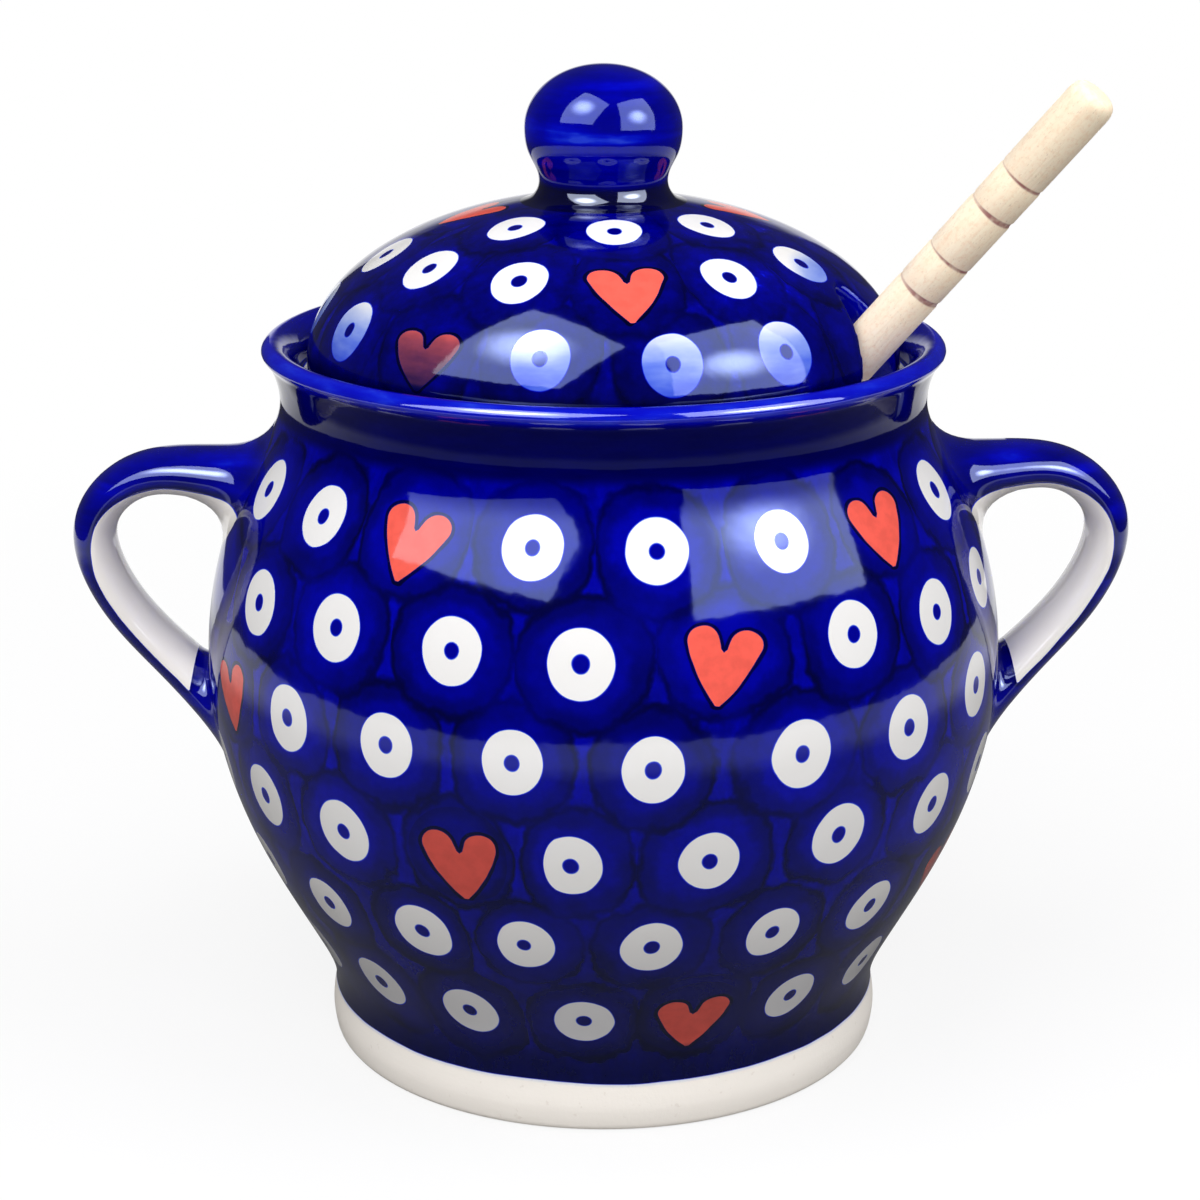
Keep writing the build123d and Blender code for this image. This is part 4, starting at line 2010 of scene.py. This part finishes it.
@dataclass
class SoftBox:
    """One soft box: a lamp that lights the pot, and the bright face that its glaze reflects.

    Attributes:
        name: its name.
        corners: the face's corners in metres: top left, top right, bottom right and bottom left.
        hot: its bright middle, in metres.
        power: watts of the lamp.
        face: strength of the reflected face at its edges.
        middle: strength at its bright middle.
        spread: radius of the bright middle, in metres.
        tint: colour of the face.
        away: how many times further off than the face the lamp stands, grown to match.
        swing: how far round the upright axis the lamp stands from the face, in degrees.
        aim: what the lamp points at, in metres.
    """

    name: str
    corners: tuple[tuple[float, float, float], ...]
    hot: tuple[float, float, float]
    power: float
    face: float = 5.2
    middle: float = 28.0
    spread: float = 0.10
    tint: Colour = (0.82, 0.87, 1.0)
    away: float = 2.5
    swing: float = 0.0
    aim: tuple[float, float, float] = (0.0, 0.0, 0.08)

    def glow(self) -> bpy.types.Material:
        """Makes the reflected face bright to mirror rays, and clear to all others.

        Returns:
            The face's material.
        """
        material, graph = unlit_graph(f"{self.name}_glow")
        off = graph.distance(graph.place(), self.hot)
        strength = graph.ramp(off, 0.0, self.spread, self.middle, self.face, "SMOOTHERSTEP")
        mirrored = graph.ray("Glossy")
        light = graph.shader("Emission", self.tint, strength * mirrored)
        graph.show(graph.shader("MixShader", mirrored, graph.shader("BsdfTransparent"), light))
        return material

    def build(self) -> None:
        """Puts up the lamp and its reflected face."""
        spots = [Vector(corner) for corner in self.corners]
        centre = sum(spots, Vector()) / len(spots)
        width = ((spots[1] - spots[0]).length + (spots[2] - spots[3]).length) / 2
        height = ((spots[3] - spots[0]).length + (spots[2] - spots[1]).length) / 2
        aim = Vector(self.aim)
        way = Matrix.Rotation(math.radians(self.swing), 3, "Z") @ (centre - aim) * self.away
        size = (width * self.away, height * self.away)
        hang_lamp(f"{self.name}_lamp", aim + way, aim, size, self.power)
        bm = bmesh.new()
        bmesh.ops.create_grid(bm, x_segments=1, y_segments=1, size=1.0)
        for vert in bm.verts:
            right, upper = vert.co.x > 0, vert.co.y > 0
            vert.co = spots[(1 if right else 0) if upper else (2 if right else 3)]
        mesh = mesh_of(bm, f"{self.name}_face")
        mesh.materials.append(self.glow())
        face = put(mesh.name, mesh)
        face.visible_shadow = False


@dataclass
class Studio:
    """Floor, surroundings, lamps and camera. Places and lengths are in metres.

    Attributes:
        boxes: the soft boxes.
        floor_r: radius of the floor.
        floor_colour: its colour to the camera and to mirror rays.
        floor_bounce: its colour in the light that it throws back at the pot.
        floor_lift: glow that makes it pale to the camera.
        floor_fade: how far out it starts to turn white to the camera, and is white.
        mirror_fade: the same, to mirror rays.
        flag_r: how far out the dark cards stand.
        flag_height: their height.
        flag_glow: their brightness.
        flag_gap: gap between them at the back, in degrees.
        front_place: place of the broad lamp over the camera.
        front_size: its width.
        front_power: its watts.
        back_place: place of the broad lamp behind the pot.
        back_size: its width.
        back_power: its watts.
        broad_aim: what both point at.
        room: colour of the surroundings.
        fill: their strength on the pot.
        dim: their strength to mirror rays, overhead.
        horizon: their strength to mirror rays, at the horizon.
        band: heights above the horizon where they start to dim, and are dim, in degrees.
        camera_place: place of the camera.
        camera_tilt: how far it looks up, in degrees.
        camera_turn: how far it is turned to the left, in degrees.
        camera_lens: its focal length in millimetres, with a sensor 36 wide.
        camera_shift: its sideways shift, as a share of the picture.
    """

    boxes: tuple[SoftBox, ...]
    floor_r: float = 7.0
    floor_colour: Colour = (0.17, 0.17, 0.172)
    floor_bounce: Colour = (0.18, 0.175, 0.165)
    floor_lift: float = 0.80
    floor_fade: tuple[float, float] = (0.13, 0.42)
    mirror_fade: tuple[float, float] = (0.21, 0.29)
    flag_r: float = 0.44
    flag_height: float = 0.6
    flag_glow: float = 0.05
    flag_gap: float = 36.0
    front_place: tuple[float, float, float] = (0.0, -0.85, 0.31)
    front_size: float = 0.6
    front_power: float = 3.55
    back_place: tuple[float, float, float] = (0.0, 0.9, 0.22)
    back_size: float = 0.7
    back_power: float = 2.4
    broad_aim: tuple[float, float, float] = (0.0, 0.0, 0.06)
    room: Colour = (0.8, 0.8, 0.8)
    fill: float = 0.28
    dim: float = 0.06
    horizon: float = 1.0
    band: tuple[float, float] = (3.0, 13.0)
    camera_place: tuple[float, float, float] = (-0.0122, -0.3998, 0.191)
    camera_tilt: float = -17.08
    camera_turn: float = -1.75
    camera_lens: float = 81.72
    camera_shift: float = -0.003

    def floor(self) -> None:
        """Lays the floor: pale round the pot, and plain white further off."""
        bm = bmesh.new()
        bmesh.ops.create_circle(bm, cap_ends=True, segments=96, radius=self.floor_r)
        mesh = mesh_of(bm, "floor")
        material, graph = unlit_graph("pale_floor")
        camera, mirrored = graph.ray("Camera"), graph.ray("Glossy") + graph.ray("Transmission")
        colours = (self.floor_colour, self.floor_bounce)
        cloths = [graph.shader("BsdfDiffuse", colour) for colour in colours]
        matt = graph.shader("MixShader", graph.ray("Diffuse"), *cloths)
        lift = graph.shader("Emission", (self.floor_lift,) * 3, camera)
        away = graph.distance(graph.place(), (0.0, 0.0, 0.0))
        seen = graph.ramp(away, *self.floor_fade) * camera
        whitened = seen + graph.ramp(away, *self.mirror_fade) * mirrored
        near, far = graph.shader("AddShader", matt, lift), graph.shader("Emission")
        graph.show(graph.shader("MixShader", whitened, near, far))
        mesh.materials.append(material)
        put("floor", mesh)

    def world(self) -> None:
        """Surroundings: soft fill, a white backdrop behind the horizon and a dim room above it."""
        world = bpy.data.worlds.new("studio")
        bpy.context.scene.world = world
        graph = Graph(world)
        way = Wire(graph, graph.node("TexCoord").outputs["Generated"])
        low, high = (math.sin(math.radians(angle)) for angle in self.band)
        band = graph.ramp(graph.parts(way)[2], low, high, self.horizon, self.dim)
        camera = graph.ray("Camera")
        seen = graph.math("MINIMUM", camera + graph.ray("Glossy") + graph.ray("Transmission"), 1.0)
        strength = graph.between(camera, graph.between(seen, self.fill, band), 1.0)
        graph.show(graph.shader("Background", self.room, strength), "OutputWorld")

    def flags(self) -> None:
        """Stands dark cards round the front and sides, which only mirror rays see."""
        bm = bmesh.new()
        start = math.radians(90 + self.flag_gap / 2)
        corner = Vector((math.cos(start), math.sin(start), 0)) * self.flag_r
        heights = (0.0, self.flag_height)
        verts = [bm.verts.new(corner + Vector((0, 0, height))) for height in heights]
        edge = bm.edges.new(verts)
        bmesh.ops.spin(
            bm,
            geom=verts + [edge],
            cent=(0, 0, 0),
            axis=(0, 0, 1),
            angle=math.radians(360 - self.flag_gap),
            steps=64,
        )
        mesh = mesh_of(bm, "flags")
        material, graph = unlit_graph("flag_cloth")
        graph.show(graph.shader("Emission", (1.0, 1.0, 1.0), self.flag_glow))
        mesh.materials.append(material)
        cloth = put("flags", mesh)
        cloth.visible_camera = cloth.visible_diffuse = cloth.visible_shadow = False
        cloth.visible_transmission = cloth.visible_volume_scatter = False

    def broad_lamps(self) -> None:
        """Hangs the broad weak lamp over the camera, and a weaker one behind the pot."""
        front = ("front_lamp", self.front_place, self.front_size, self.front_power)
        back = ("back_lamp", self.back_place, self.back_size, self.back_power)
        for name, place, size, power in (front, back):
            hang_lamp(name, Vector(place), Vector(self.broad_aim), (size, size), power)

    def camera(self) -> None:
        """Sets up the camera."""
        data = bpy.data.cameras.new("camera")
        data.sensor_width = 36.0
        data.lens = self.camera_lens
        data.shift_x = self.camera_shift
        data.clip_start = 0.01
        camera = put("camera", data)
        camera.location = self.camera_place
        tilt, turn = math.radians(90 + self.camera_tilt), math.radians(self.camera_turn)
        camera.rotation_euler = (tilt, 0, turn)
        bpy.context.scene.camera = camera

    def build(self) -> None:
        """Puts the studio together."""
        bpy.context.scene.view_settings.view_transform = "Standard"
        self.camera()
        self.floor()
        self.world()
        self.flags()
        self.broad_lamps()
        for box in self.boxes:
            box.build()
        LOG.info("studio: %d soft boxes", len(self.boxes))


def main() -> None:
    """Builds the pot's pieces and the studio round them."""
    logging.basicConfig(level=logging.INFO, format="%(name)s: %(message)s")
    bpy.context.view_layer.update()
    leaning = Leaning()
    jar = Jar()
    lid = DomeLid(leaning)
    dipper = HoneyDipper(leaning)
    jar_rows = (
        StampRow(96.2, 19, -159.2, 2, 4, 0.97, skip=(8, 9), nudges=((17, -2.0),)),
        StampRow(
            81.2, 20, -148.4, 4, 10, skip=(19,), nudges=((4, 1.2), (5, 2.9), (6, 2.5), (7, 2.0))
        ),
        StampRow(
            66.7, 20, -154.7, 0, 10, nudges=((1, -2.5), (2, -2.6), (3, -2.9), (4, -3.4), (5, -1.0))
        ),
        StampRow(
            52.3,
            20,
            -147.3,
            2,
            10,
            skip=(8, 18),
            nudges=((2, 0.6), (3, -3.3), (4, -2.0), (5, -1.5)),
        ),
        StampRow(
            36.6,
            19,
            -138.5,
            6,
            7,
            nudges=((0, -0.4), (1, -0.5), (2, -2.8), (3, -2.7), (4, -3.7), (5, -2.4)),
        ),
        StampRow(20.7, 18, -135.7, 3, 5),
    )
    lid_rows = (
        StampRow(34.9, 8, -178.0, 0, 4, 0.90, (0.95, 0.95), 0.0),
        StampRow(21.1, 13, -168.6, 3, 5, 0.94, (1.06, 0.96), 1.2, (6,)),
        StampRow(8.1, 15, -175.6, 2, 5, 0.97, (1.1, 0.80), 1.8, (6, 7)),
    )
    jar.build(JarFinish(StampedGlaze(jar_rows)).material())
    strap_finish = BrushedFinish("strap_glaze", depth=5.5, swing=5.5, two_tone=True, wet=0.45)
    strap_glaze = strap_finish.material()
    for side in (-1, 1):
        StrapHandle(jar, side).build(strap_glaze)
    lid.build(LidFinish(StampedGlaze(lid_rows, rims=(1.32, 1.92), blotch=6.5)).material())
    knob_finish = BrushedFinish("knob_glaze", depth=4.6, swing=5.6, squash=0.14, pool=0.1321)
    BallKnob(lid).build(knob_finish.material())
    dipper.build(BeechFinish(dipper.ring_places()).material())
    left_face = (
        (-0.13, 0.009, 0.571),
        (0.046, -0.231, 0.541),
        (-0.129, -0.40, 0.28),
        (-0.314, -0.124, 0.235),
    )
    right_face = (
        (0.132, -0.218, 0.578),
        (0.31, 0.033, 0.522),
        (0.279, -0.073, 0.146),
        (0.115, -0.273, 0.176),
    )
    left_hot, right_hot = (-0.150, -0.160, 0.415), (0.200, -0.150, 0.285)
    left = SoftBox("left", left_face, left_hot, 5.7, spread=0.13, away=2.1, swing=-14.0)
    right = SoftBox("right", right_face, right_hot, 5.7, away=2.4, swing=13.0)
    Studio((left, right)).build()


if __name__ == "__main__":
    main()
